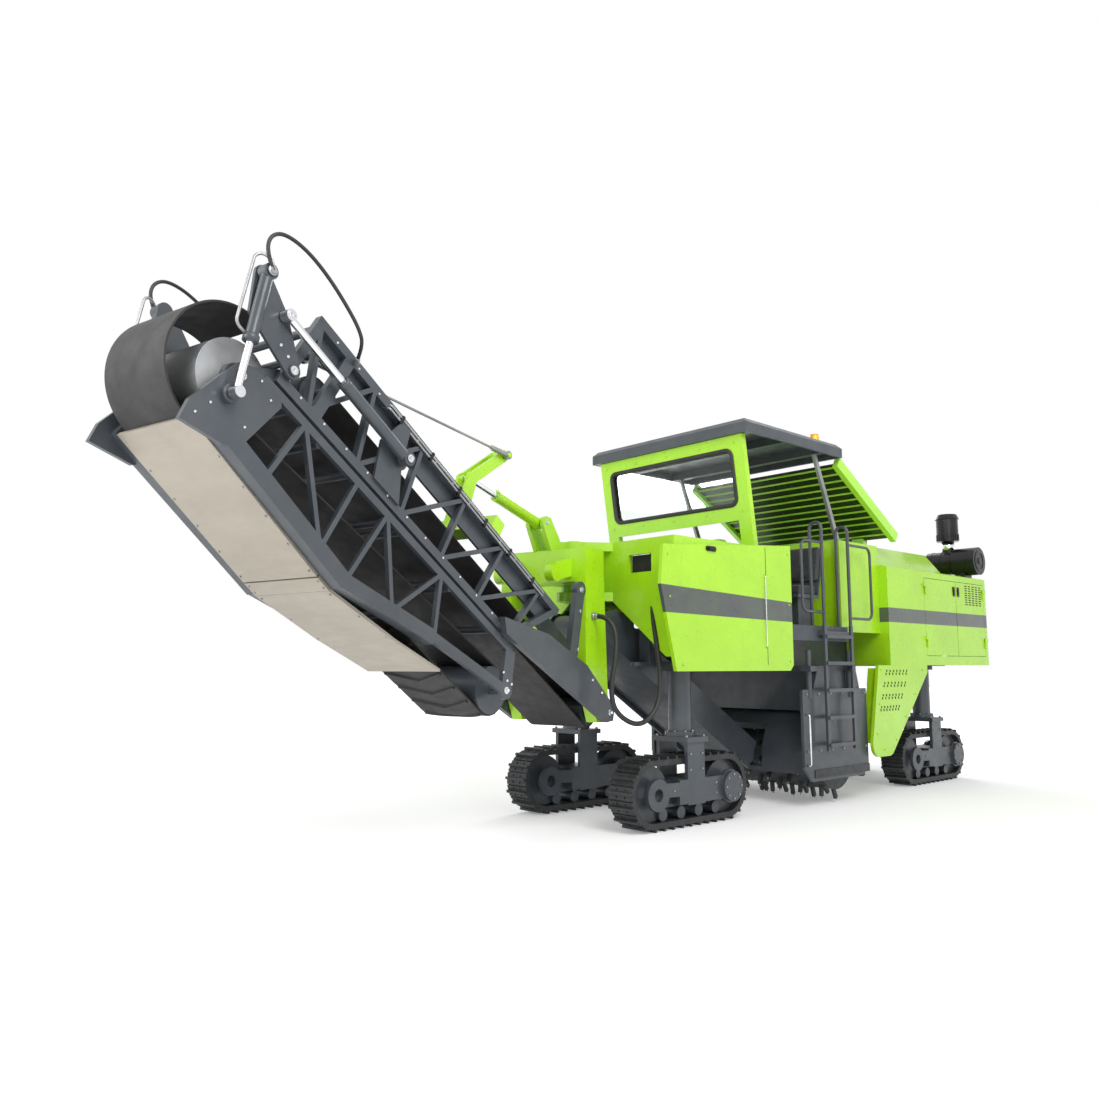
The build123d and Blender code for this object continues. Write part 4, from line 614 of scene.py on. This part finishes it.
# two pipes along each top chord of the inner section, and the clamps that hold them
chordPipe = {"radius": 0.01, "from": -3.3, "to": -1.02, "rises": (0.762, 0.792), "out": 0.511, "in": 0.46}
pipeClamps = {"size": (0.075, 0.028, 0.024), "bevel": 0.006, "from": -3.1, "to": -1.15, "count": 6,
              "rise": 0.777}
for side, name in bothSides:
    lines = []
    for rise in chordPipe["rises"]:
        first, last = chordPipe["from"], chordPipe["to"]
        u, z = chord([(first - 0.02, rise), (first, rise), (last, rise), (last + 0.04, rise)]).T
        w = side * np.array([chordPipe["in"], chordPipe["out"], chordPipe["out"], chordPipe["in"]])
        lines.append(pipe(rounded(slewed(u, w, z), 0.018, 4), chordPipe["radius"], 8))
    addPiece("chord_pipes_" + name, joined(lines), rawSteel, "inner_conveyor", smooth=True)
    d = np.linspace(pipeClamps["from"], pipeClamps["to"], pipeClamps["count"])
    u, z = chord(np.c_[d, np.full(len(d), pipeClamps["rise"])]).T
    turn = axesTo(slewWay(0, side, 0), slewWay(-math.sin(beltTurn), 0, math.cos(beltTurn)))
    clamps = repeated(block(pipeClamps["size"], pipeClamps["bevel"]), slewed(u, side * 0.513, z), turn)
    addPiece("pipe_clamps_" + name, clamps, blackPlastic, "inner_conveyor")

# bolts along both edges of the outer section's sheets: ends along the slope, count
coverBolts = {"front": ((0.04, -0.385), (-1.24, -0.572), 6), "rear": ((-1.42, -0.588), (-2.06, -0.52), 3),
              "seam": ((-1.3, -0.576), (-1.37, -0.584), 2)}
for tag, (first, last, count) in coverBolts.items():
    run = np.subtract(last, first)
    square = np.array([-run[1], run[0]]) / np.linalg.norm(run)  # out of the sheet, away from the belt
    spots = np.array(first) + run * np.linspace(0.03, 0.97, count)[:, None] + square * 0.012
    u, z = chord(spots).T
    normal = slewWay(square[0] * math.cos(beltTurn) - square[1] * math.sin(beltTurn), 0,
                     square[0] * math.sin(beltTurn) + square[1] * math.cos(beltTurn))
    rows = np.vstack([slewed(u, w, z) for w in (-0.365, 0.365)])
    addPiece("cover_bolts_" + tag, bolts(rows, normal, 0.8), rawSteel, "outer_conveyor")
print("conveyor fittings made")

# V-shaped cleats over the discharge belt, from its turn round the head to its turn round the tail
cleat = {"pitch": 0.2, "first": -11, "count": 20, "rise": 0.016, "half": 0.3, "sweep": 0.11, "width": 0.016}
headAt, tailAt = np.array([1.77, 1.35]), chord((-0.21, -0.215))
headRound, tailRound = 0.214, 0.114


# points of the belt's outer face, from the middle of its turn round the head: an arc, then a straight run
def beltPlace(distance, lift):
    line = tailAt - headAt
    meet = math.acos((headRound - tailRound) / np.linalg.norm(line))
    arc = (math.pi - meet) * headRound
    sign = np.where(distance < 0, -1.0, 1.0)
    size = np.abs(distance)
    angle = math.atan2(line[1], line[0]) + math.pi + sign * np.minimum(size, arc) / headRound
    out = np.stack([np.cos(angle), np.sin(angle)], -1)
    way = np.stack([-np.sin(angle), np.cos(angle)], -1) * sign[..., None]
    return headAt + out * (headRound + lift)[..., None] + way * np.maximum(size - arc, 0)[..., None]


starts = (np.arange(cleat["count"]) + cleat["first"]) * cleat["pitch"]
across = np.linspace(-cleat["half"], cleat["half"], 13)
section = np.array([[-1.0, -0.001], [-0.6, cleat["rise"]], [0.6, cleat["rise"]], [1.0, -0.001]])
s, w, corner = np.meshgrid(starts, across, np.arange(4), indexing="ij")
swept = s + np.abs(w) / cleat["half"] * cleat["sweep"]
spots = beltPlace(swept + section[corner, 0] * cleat["width"], section[corner, 1])
oneCleat = gridFaces(13, 4, closeColumns=True).tolist() + [[0, 1, 2, 3], [51, 50, 49, 48]]
cleatFaces = [[i + 13 * 4 * n for i in f] for n in range(cleat["count"]) for f in oneCleat]
addPiece("belt_cleats", (slewed(spots[..., 0], w, spots[..., 1]), cleatFaces), beltRubber, "outer_conveyor")


# spots (x, z) on a side of the body, this far from its middle
def besideBody(spots, side, out=1.18):
    spots = np.asarray(spots, float)
    return place(np.c_[spots[:, 0], np.full(len(spots), side * out), spots[:, 1]])


# a smaller flat block on a larger, on a side of the body: sizes, bevels and how far out
def latchPlates(x, z, side, plates):
    return joined([turned(block(size, bevel), place((x, side * out, z)), (0, side, 0))
                   for size, bevel, out in plates])


doorVents = {"x": (-3.68, -3.24), "columns": 5, "z": (2.4, 2.655), "rows": 9, "slot": (0.072, 0.014, 0.003)}
doorLatches = {"middle": -2.855, "rear": -2.985, "z": 2.56,
               "plates": (((0.13, 0.05, 0.012), 0.01, 1.186), ((0.07, 0.026, 0.006), 0.006, 1.1945))}
coverSlots = {"size": (0.03, 0.024, 0.003), "count": 7, "shift": 0.02,  # rows: high, low, front, rear
              "rows": ((1.49, 1.455, -0.93, -1.43), (1.345, 1.31, -0.87, -1.38), (1.2, 1.165, -0.82, -1.29),
                       (1.06, 1.025, -0.77, -1.2))}
slotsOut = 1.1805  # just proud of the body's side
lowerEdge = ((-0.79, 1.5), (-0.72, 1.1), (-0.64, 0.75), (-1.85, 1.5), (-1.62, 1.2), (-1.36, 0.93),
             (-1.1, 0.66), (-0.8, 0.56))
panelEdge = ((1.12, 1.6), (1.12, 2.2), (1.12, 2.75), (2.9, 1.56), (3.08, 2.2), (3.1, 2.6))
panelLatch = {"x": 2.45, "z": 2.7,
              "plates": (((0.05, 0.15, 0.014), 0.012, 1.187), ((0.022, 0.1, 0.02), 0.008, 1.203))}
grabRail = {"bend": 0.09, "radius": 0.016,
            "corners": ((0.46, 1.2, 2.15), (0.88, 1.2, 2.15), (0.88, 1.2, 2.94), (0.46, 1.2, 2.94))}
x, z = np.meshgrid(np.linspace(*doorVents["x"], doorVents["columns"]),
                   np.linspace(*doorVents["z"], doorVents["rows"]))
ventSpots = np.c_[x.ravel(), z.ravel()]
slotSpots = [(x + shift, z) for high, low, front, rear in coverSlots["rows"]
             for z, shift in ((high, 0.0), (low, coverSlots["shift"]))
             for x in np.linspace(front, rear, coverSlots["count"])]
for side, name in ((1, "l"), (-1, "r")):
    out = (0, side, 0)
    # painted shade: a near-black block in each slot of the door vents
    vents = repeated(block(doorVents["slot"], 0.005), besideBody(ventSpots, side, slotsOut),
                     axesTo(out, (1, 0, 0)))
    addPiece("door_vents_" + name, vents, holeShadeAndSeam, "rear_door_" + name)
    for tag in ("middle", "rear"):
        latch = latchPlates(doorLatches[tag], doorLatches["z"], side, doorLatches["plates"])
        addPiece(f"{tag}_latch_{name}", latch, blackPlastic, f"{tag}_door_{name}")
    # painted shade: a near-black block in each of the cover's slots
    slots = repeated(block(coverSlots["size"], 0.008), besideBody(slotSpots, side, slotsOut),
                     axesTo(out, (0.25, 0, 1)))
    addPiece("cover_slots_" + name, slots, holeShadeAndSeam)
    addPiece("cover_bolts_" + name, bolts(besideBody(lowerEdge, side), out), limePaint)
    addPiece("panel_bolts_" + name, bolts(besideBody(panelEdge, side), out), limePaint)
    latch = latchPlates(panelLatch["x"], panelLatch["z"], side, panelLatch["plates"])
    addPiece("panel_latch_" + name, latch, blackPlastic)
    rail = rounded(place(np.multiply(grabRail["corners"], (1, side, 1))), grabRail["bend"])
    addPiece("grab_rail_" + name, pipe(rail, grabRail["radius"], 12), slatePaint, smooth=True)

panelSeam = {"size": (1.24, 0.007, 0.002), "middle": (1.53, slotsOut, 2.18)}
panelStrut = {"corners": ((1.56, 1.185, 1.74), (1.56, 1.197, 1.76), (1.56, 1.197, 2.48), (1.56, 1.185, 2.5)),
              "bend": 0.004, "radius": 0.007}
edgeGrab = {"corners": ((0.74, 1.098, 0.47), (0.74, 1.15, 0.47), (0.74, 1.15, 1.02), (0.74, 1.098, 1.02)),
            "bend": 0.025, "radius": 0.01}
for side, name in bothSides:
    mirror = (1, side, 1)
    seam = turned(block(panelSeam["size"]), place(np.multiply(panelSeam["middle"], mirror)), (0, side, 0))
    addPiece("panel_seam_" + name, seam, holeShadeAndSeam)
    strut = rounded(place(np.multiply(panelStrut["corners"], mirror)), panelStrut["bend"], 3)
    addPiece("panel_strut_" + name, pipe(strut, panelStrut["radius"], 8), rodChrome, smooth=True)
    grab = rounded(place(np.multiply(edgeGrab["corners"], mirror)), edgeGrab["bend"])
    addPiece("edge_grab_" + name, pipe(grab, edgeGrab["radius"]), rodChrome, "edge_guard_" + name,
             smooth=True)

# the front box's hose opening, the filler cap, and the rear wall's grille and lamps
# painted shade: a near-black sheet across the front box's hose opening
openingShade = {"size": (0.17, 0.29, 0.004), "middle": (2.905, 0.7, 2.56)}
shadeSheet = turned(block(openingShade["size"]), place(openingShade["middle"]), (1, 0, 0))
addPiece("opening_shade", shadeSheet, holeShadeAndSeam)
cap = lathe([(0.07, 0.0), (0.07, 0.03), (0.06, 0.045)], 20)
addPiece("filler_cap", turned(cap, place((-1.75, 0.45, 3.1)), (0, 0, 1)), blackPlastic)
# painted shade: a near-black block in each slot of the rear grille
rearGrille = {"x": -3.8705, "half": 0.78, "columns": 7, "z": (1.75, 2.6), "rows": 18,
              "slot": (0.022, 0.2, 0.003)}
y, z = np.meshgrid(np.linspace(-rearGrille["half"], rearGrille["half"], rearGrille["columns"]),
                   np.linspace(*rearGrille["z"], rearGrille["rows"]))
spots = place(np.c_[np.full(y.size, rearGrille["x"]), y.ravel(), z.ravel()])
grille = repeated(block(rearGrille["slot"], 0.008), spots, axesTo((-1, 0, 0)))
addPiece("rear_grille", grille, holeShadeAndSeam)
lens = lathe([(0.055, 0.0), (0.055, 0.018), (0.046, 0.026), (0.02, 0.03)], 20)
both = [turned(lens, place((-3.87, y, 2.66)), (-1, 0, 0)) for y in (-1.0, 1.0)]
addPiece("rear_lamps", joined(both), amberLens, smooth=True)

# bands and end cap of the air filter, its neck, the ribs of its bowl, and the beacon's foot
airFilter = {"x": -3.74, "z": 3.05, "left": 0.74,  # bands: left, radius, width
             "bands": ((0.8, 0.17, 0.02), (0.66, 0.17, 0.02), (0.52, 0.17, 0.02), (0.3, 0.11, 0.03))}
bands = []
for y, radius, wide in airFilter["bands"]:
    ring = lathe([(radius - 0.004, 0), (radius + 0.006, 0.004), (radius + 0.006, wide - 0.004),
                  (radius - 0.004, wide)], 36)
    bands.append(turned(ring, place((airFilter["x"], y, airFilter["z"])), (0, 1, 0)))
endCap = lathe([(0.15, 0.0), (0.15, 0.008), (0.12, 0.012), (0.12, 0.004), (0.05, 0.004), (0.045, 0.016),
                (0.02, 0.018)], 36)
bands.append(turned(endCap, place((airFilter["x"], 1.178, airFilter["z"])), (0, 1, 0)))
addPiece("filter_bands", joined(bands), blackPlastic)
neck = lathe([(0.0865, 3.225), (0.0865, 3.365)], 32)
neck = turned(neck, place((airFilter["x"], airFilter["left"], 0)), (0, 0, 1), (1, 0, 0))
addPiece("filter_neck", neck, rodChrome, smooth=True)
bowlRibs = {"count": 24, "radius": 0.151, "size": (0.012, 0.02, 0.09), "z": 3.43}
parts = []
for t in np.arange(bowlRibs["count"]) * 2 * math.pi / bowlRibs["count"]:
    way = np.array([math.cos(t), math.sin(t), 0])
    middle = place((airFilter["x"], airFilter["left"], bowlRibs["z"])) + way * bowlRibs["radius"]
    parts.append(turned(block(bowlRibs["size"], 0.003), middle, (0, 0, 1), way))
addPiece("bowl_ribs", joined(parts), blackPlastic)
foot = lathe([(0.085, 4.1805), (0.085, 4.215), (0.072, 4.225), (0.064, 4.225)], 24)
foot = turned(foot, place((0.04, 0.9, 0)), (0, 0, 1), (1, 0, 0))
addPiece("beacon_base", foot, blackPlastic, smooth=True)

# the leaning windshield: its foot forward and up, and its lean
windFoot, windLean = (1.5, 2.8), math.atan2(1.22, 0.19)
gasket = {"width": 1.79, "height": 0.59, "middle": 0.79, "corner": 0.07,  # profile: outward, off the pane
          "profile": ((0.028, 0.034), (0.026, 0.044), (0.004, 0.047), (-0.018, 0.042), (-0.02, 0.006))}


# points of the windshield: across it, up it, and off its front face
def onWindshield(across, up, off):
    return place(np.stack([windFoot[0] + up * math.cos(windLean) + off * math.sin(windLean), across,
                           windFoot[1] + up * math.sin(windLean) - off * math.cos(windLean)], -1))


# the gasket's profile carried round a rounded window, on each face
halfWide, halfHigh, corner = gasket["width"] / 2, gasket["height"] / 2, gasket["corner"]
t = np.linspace(0, math.pi / 2, 6)
outline = np.vstack([np.c_[x * (halfWide - corner) + corner * np.cos(t + quarter * math.pi / 2),
                           y * (halfHigh - corner) + corner * np.sin(t + quarter * math.pi / 2)]
                     for quarter, (x, y) in enumerate(((1, 1), (-1, 1), (-1, -1), (1, -1)))])
along = np.roll(outline, -1, 0) - np.roll(outline, 1, 0)
away = np.c_[along[:, 1], -along[:, 0]] / np.linalg.norm(along, axis=1, keepdims=True)
outline[:, 1] += gasket["middle"]
profile = np.array(gasket["profile"])
flat = outline[:, None] + away[:, None] * profile[None, :, :1]
faces = gridFaces(len(outline), len(profile), closeRows=True, closeColumns=True)
for face, name in ((1, "front"), (-1, "rear")):
    verts = onWindshield(flat[..., 0], flat[..., 1], face * np.broadcast_to(profile[:, 1], flat.shape[:2]))
    shape = (verts, faces[:, ::-1] if face > 0 else faces)
    addPiece("window_gasket_" + name, shape, beltRubber, smooth=True)
across, up = np.array([(x, s) for x in np.linspace(-0.95, 0.95, 5) for s in (0.42, 1.16)]).T
spots = onWindshield(across, up, np.full(10, 0.035))
addPiece("windshield_bolts", bolts(spots, (math.sin(windLean), 0, -math.cos(windLean))), limePaint)

# a crawler's shoes round its loop: a flat run, half a turn, a flat run back, half a turn
shoes = {"count": 32, "straight": 1.11, "path": 0.307, "axis": 0.345, "proud": 0.01, "bolt": (0.036, 0.055)}
half, arc = shoes["straight"] / 2, math.pi * shoes["path"]
s = (np.arange(shoes["count"]) + 0.5) * (4 * half + 2 * arc) / shoes["count"]
stretch = [s < 2 * half, s < 2 * half + arc, s < 4 * half + arc]
angle = np.select(stretch, [-math.pi / 2, (s - 2 * half) / shoes["path"] - math.pi / 2, math.pi / 2],
                  (s - 4 * half - arc) / shoes["path"] + math.pi / 2)
shoeX = np.select(stretch, [s - half, half, 3 * half + arc - s], -half)
crawlers = {"front_left": (2.45, 0.75), "front_right": (2.45, -0.75), "rear_left": (-2.64, 0.75),
            "rear_right": (-2.64, -0.75)}  # each leg's x and y
frameBolts = ((-0.09, 0.7), (0.09, 0.7), (-0.09, 0.55), (0.09, 0.55), (-0.3, 0.4), (-0.3, 0.3), (0.34, 0.37))
t = np.arange(8) * math.pi / 4
ringX, ringY = np.cos(t), np.sin(t)
flangeX, flangeY = np.cos(t + 0.3), np.sin(t + 0.3)  # turned so that no bolt lies against the yoke
for corner, (legX, legY) in crawlers.items():
    side, body = (1 if legY > 0 else -1), "crawler_" + corner
    pieces = []
    for baseX, turn in zip(shoeX, angle):
        normal = np.array([math.cos(turn), 0, math.sin(turn)])
        way = np.array([-math.sin(turn), 0, math.cos(turn)])
        middle = np.array([legX + baseX, legY, shoes["axis"]]) + normal * (shoes["path"] + shoes["proud"])
        spots = [middle + way * a * shoes["bolt"][0] + np.array([0, b * shoes["bolt"][1], 0])
                 for a in (-1, 1) for b in (-1, 1)]
        pieces.append(repeated(boltHead, place(spots), axesTo(normal, (0, 1, 0))))
    addPiece("shoe_bolts_" + corner, joined(pieces), trackSteel, body)
    hub = np.c_[legX - 0.535 + 0.12 * ringX, np.full(8, legY + side * 0.245), shoes["axis"] + 0.12 * ringY]
    flange = np.c_[legX + 0.133 * flangeX, legY + 0.133 * flangeY, np.full(8, 0.905)]
    yoke = [(legX + a, legY + b, 0.86) for a in (-0.13, 0.13) for b in (-0.19, 0.19)]
    yokeSide = [(legX + a, legY + side * 0.2, z) for a, z in frameBolts]
    out, up = (0, side, 0), (0, 0, 1)
    for tag, spots, normal, size in (("hub", hub, out, 1.1), ("flange", flange, up, 1.1),
                                     ("yoke", yoke, up, 1.6), ("frame", yokeSide, out, 1.0)):
        addPiece(f"{tag}_bolts_{corner}", bolts(place(spots), normal, size), rawSteel, body)

edgeBolts = [(x, z) for z in (1.24, 0.62) for x in np.linspace(-0.5, 0.72, 6)]
edgeSkid = {"size": (1.16, 0.09, 0.012), "bevel": 0.006, "middle": (0.02, 1.105, 0.37)}
for side, name in bothSides:
    rows = bolts(besideBody(edgeBolts, side, 1.101), (0, side, 0), 1.3)
    addPiece("edge_bolts_" + name, rows, rawSteel, "edge_guard_" + name)
    middle = place(np.multiply(edgeSkid["middle"], (1, side, 1)))
    skid = turned(block(edgeSkid["size"], edgeSkid["bevel"]), middle, (0, side, 0), (1, 0, 0))
    addPiece("edge_skid_" + name, skid, wearSteel, "edge_guard_" + name)

# tips in the drum's tool holders: four starts a side, each row turned on by a step
tips = {"starts": 4, "rows": 16, "step": 24, "half": 1.0, "radius": 0.465, "axis": 0.52, "ahead": 0.06,
        "lean": 0.5}
start, row, side = np.meshgrid(np.arange(tips["starts"]), np.arange(tips["rows"]), (-1, 1), indexing="ij")
toolTurn = np.radians(360 * start / tips["starts"] + row * tips["step"]).ravel()
toolY = (side * (row + 0.5) * tips["half"] / tips["rows"]).ravel()
tip = lathe([(0.0112, 0.0), (0.0091, 0.021), (0.0028, 0.0315)], 8)
points = place(np.c_[tips["radius"] * np.sin(toolTurn + tips["ahead"]), toolY,
                     tips["axis"] + tips["radius"] * np.cos(toolTurn + tips["ahead"])])
parts = [turned(tip, p, (math.sin(a), 0, math.cos(a)), (0, 1, 0))
         for p, a in zip(points, toolTurn + tips["lean"])]
addPiece("cutting_tips", joined(parts), rawSteel, "milling_rotor")

# sticks, screens and buttons on the console's sloped top
console = {"up": (-0.606, 0.0, 0.795), "sticks": (-0.34, 0.34), "screens": (-0.12, 0.14),
           "buttons": (-0.44, -0.25, 0.25, 0.44)}
knob = lathe([(0.03, 0.0), (0.024, 0.01), (0.008, 0.014), (0.008, 0.09), (0.02, 0.1), (0.024, 0.13),
              (0.014, 0.15)], 16)
button = lathe([(0.012, 0.0), (0.012, 0.008), (0.009, 0.011)], 10)
sticks = [turned(knob, place((1.2, y, 2.853)), console["up"]) for y in console["sticks"]]
addPiece("console_sticks", joined(sticks), blackPlastic, smooth=True)
screens = [turned(block((0.15, 0.22, 0.02), 0.01), place((1.232, y, 2.884)), console["up"])
           for y in console["screens"]]
addPiece("console_screens", joined(screens), blackPlastic)
buttons = [turned(button, place((1.165 + 0.03 * i, y, 2.833 + 0.0229 * i)), console["up"]) for i in range(3)
           for y in console["buttons"]]
addPiece("console_buttons", joined(buttons), rawSteel)
print("machine fittings made")

cushion = {"voxel": 0.011, "pressure": 4.0, "cap": 0.012, "shrink": 0.008, "frames": 20, "quality": 5}


# an object's mesh with its modifiers applied
def evaluatedMesh(obj):
    return bpy.data.meshes.new_from_object(obj.evaluated_get(bpy.context.evaluated_depsgraph_get()))


# blow a closed mesh up as cloth, no point moved further than the cap
def blowUp(obj):
    cloth = obj.modifiers.new("cloth", "CLOTH")
    cloth.settings.use_pressure = True
    cloth.settings.uniform_pressure_force = cushion["pressure"]
    cloth.settings.effector_weights.gravity = 0
    cloth.settings.quality = cushion["quality"]
    cloth.point_cache.frame_start, cloth.point_cache.frame_end = 1, cushion["frames"]
    for step in range(1, cushion["frames"] + 1):
        scene.frame_set(step)
    blown = evaluatedMesh(obj)
    obj.modifiers.clear()
    before = np.array([v.co for v in obj.data.vertices])
    move = np.array([v.co for v in blown.vertices]) - before
    size = np.linalg.norm(move, axis=1, keepdims=True)
    after = before + move * np.minimum(1, cushion["cap"] / np.maximum(size, 1e-9))
    blown.vertices.foreach_set("co", after.ravel())
    blown.update()
    obj.data = blown
    scene.frame_set(1)


# the pads' own closed shapes, drawn in a little, remeshed, blown up and smoothed
def makeCushions():
    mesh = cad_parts["seat_pads"].data.copy()
    mesh.name = "seatCushions"
    obj = addObject("seat_cushions", mesh)
    work = bmesh.new()
    work.from_mesh(mesh)
    bmesh.ops.remove_doubles(work, verts=work.verts, dist=1e-5)
    bmesh.ops.recalc_face_normals(work, faces=work.faces)
    for v in work.verts:
        v.co -= v.normal * cushion["shrink"]
    work.to_mesh(mesh)
    work.free()
    remesh = obj.modifiers.new("remesh", "REMESH")
    remesh.mode = "VOXEL"
    remesh.voxel_size = cushion["voxel"]
    bpy.context.view_layer.update()
    shape = evaluatedMesh(obj)
    obj.modifiers.clear()
    obj.data = shape
    blowUp(obj)
    obj.data.materials.clear()
    obj.data.materials.append(seatCloth)
    obj.data.polygons.foreach_set("use_smooth", np.ones(len(obj.data.polygons), bool))
    finer = obj.modifiers.new("finer", "SUBSURF")
    finer.levels = finer.render_levels = 1
    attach(obj, "machine")
    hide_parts("seat_pads")
    print("cushions:", len(obj.data.polygons), "faces")


makeCushions()
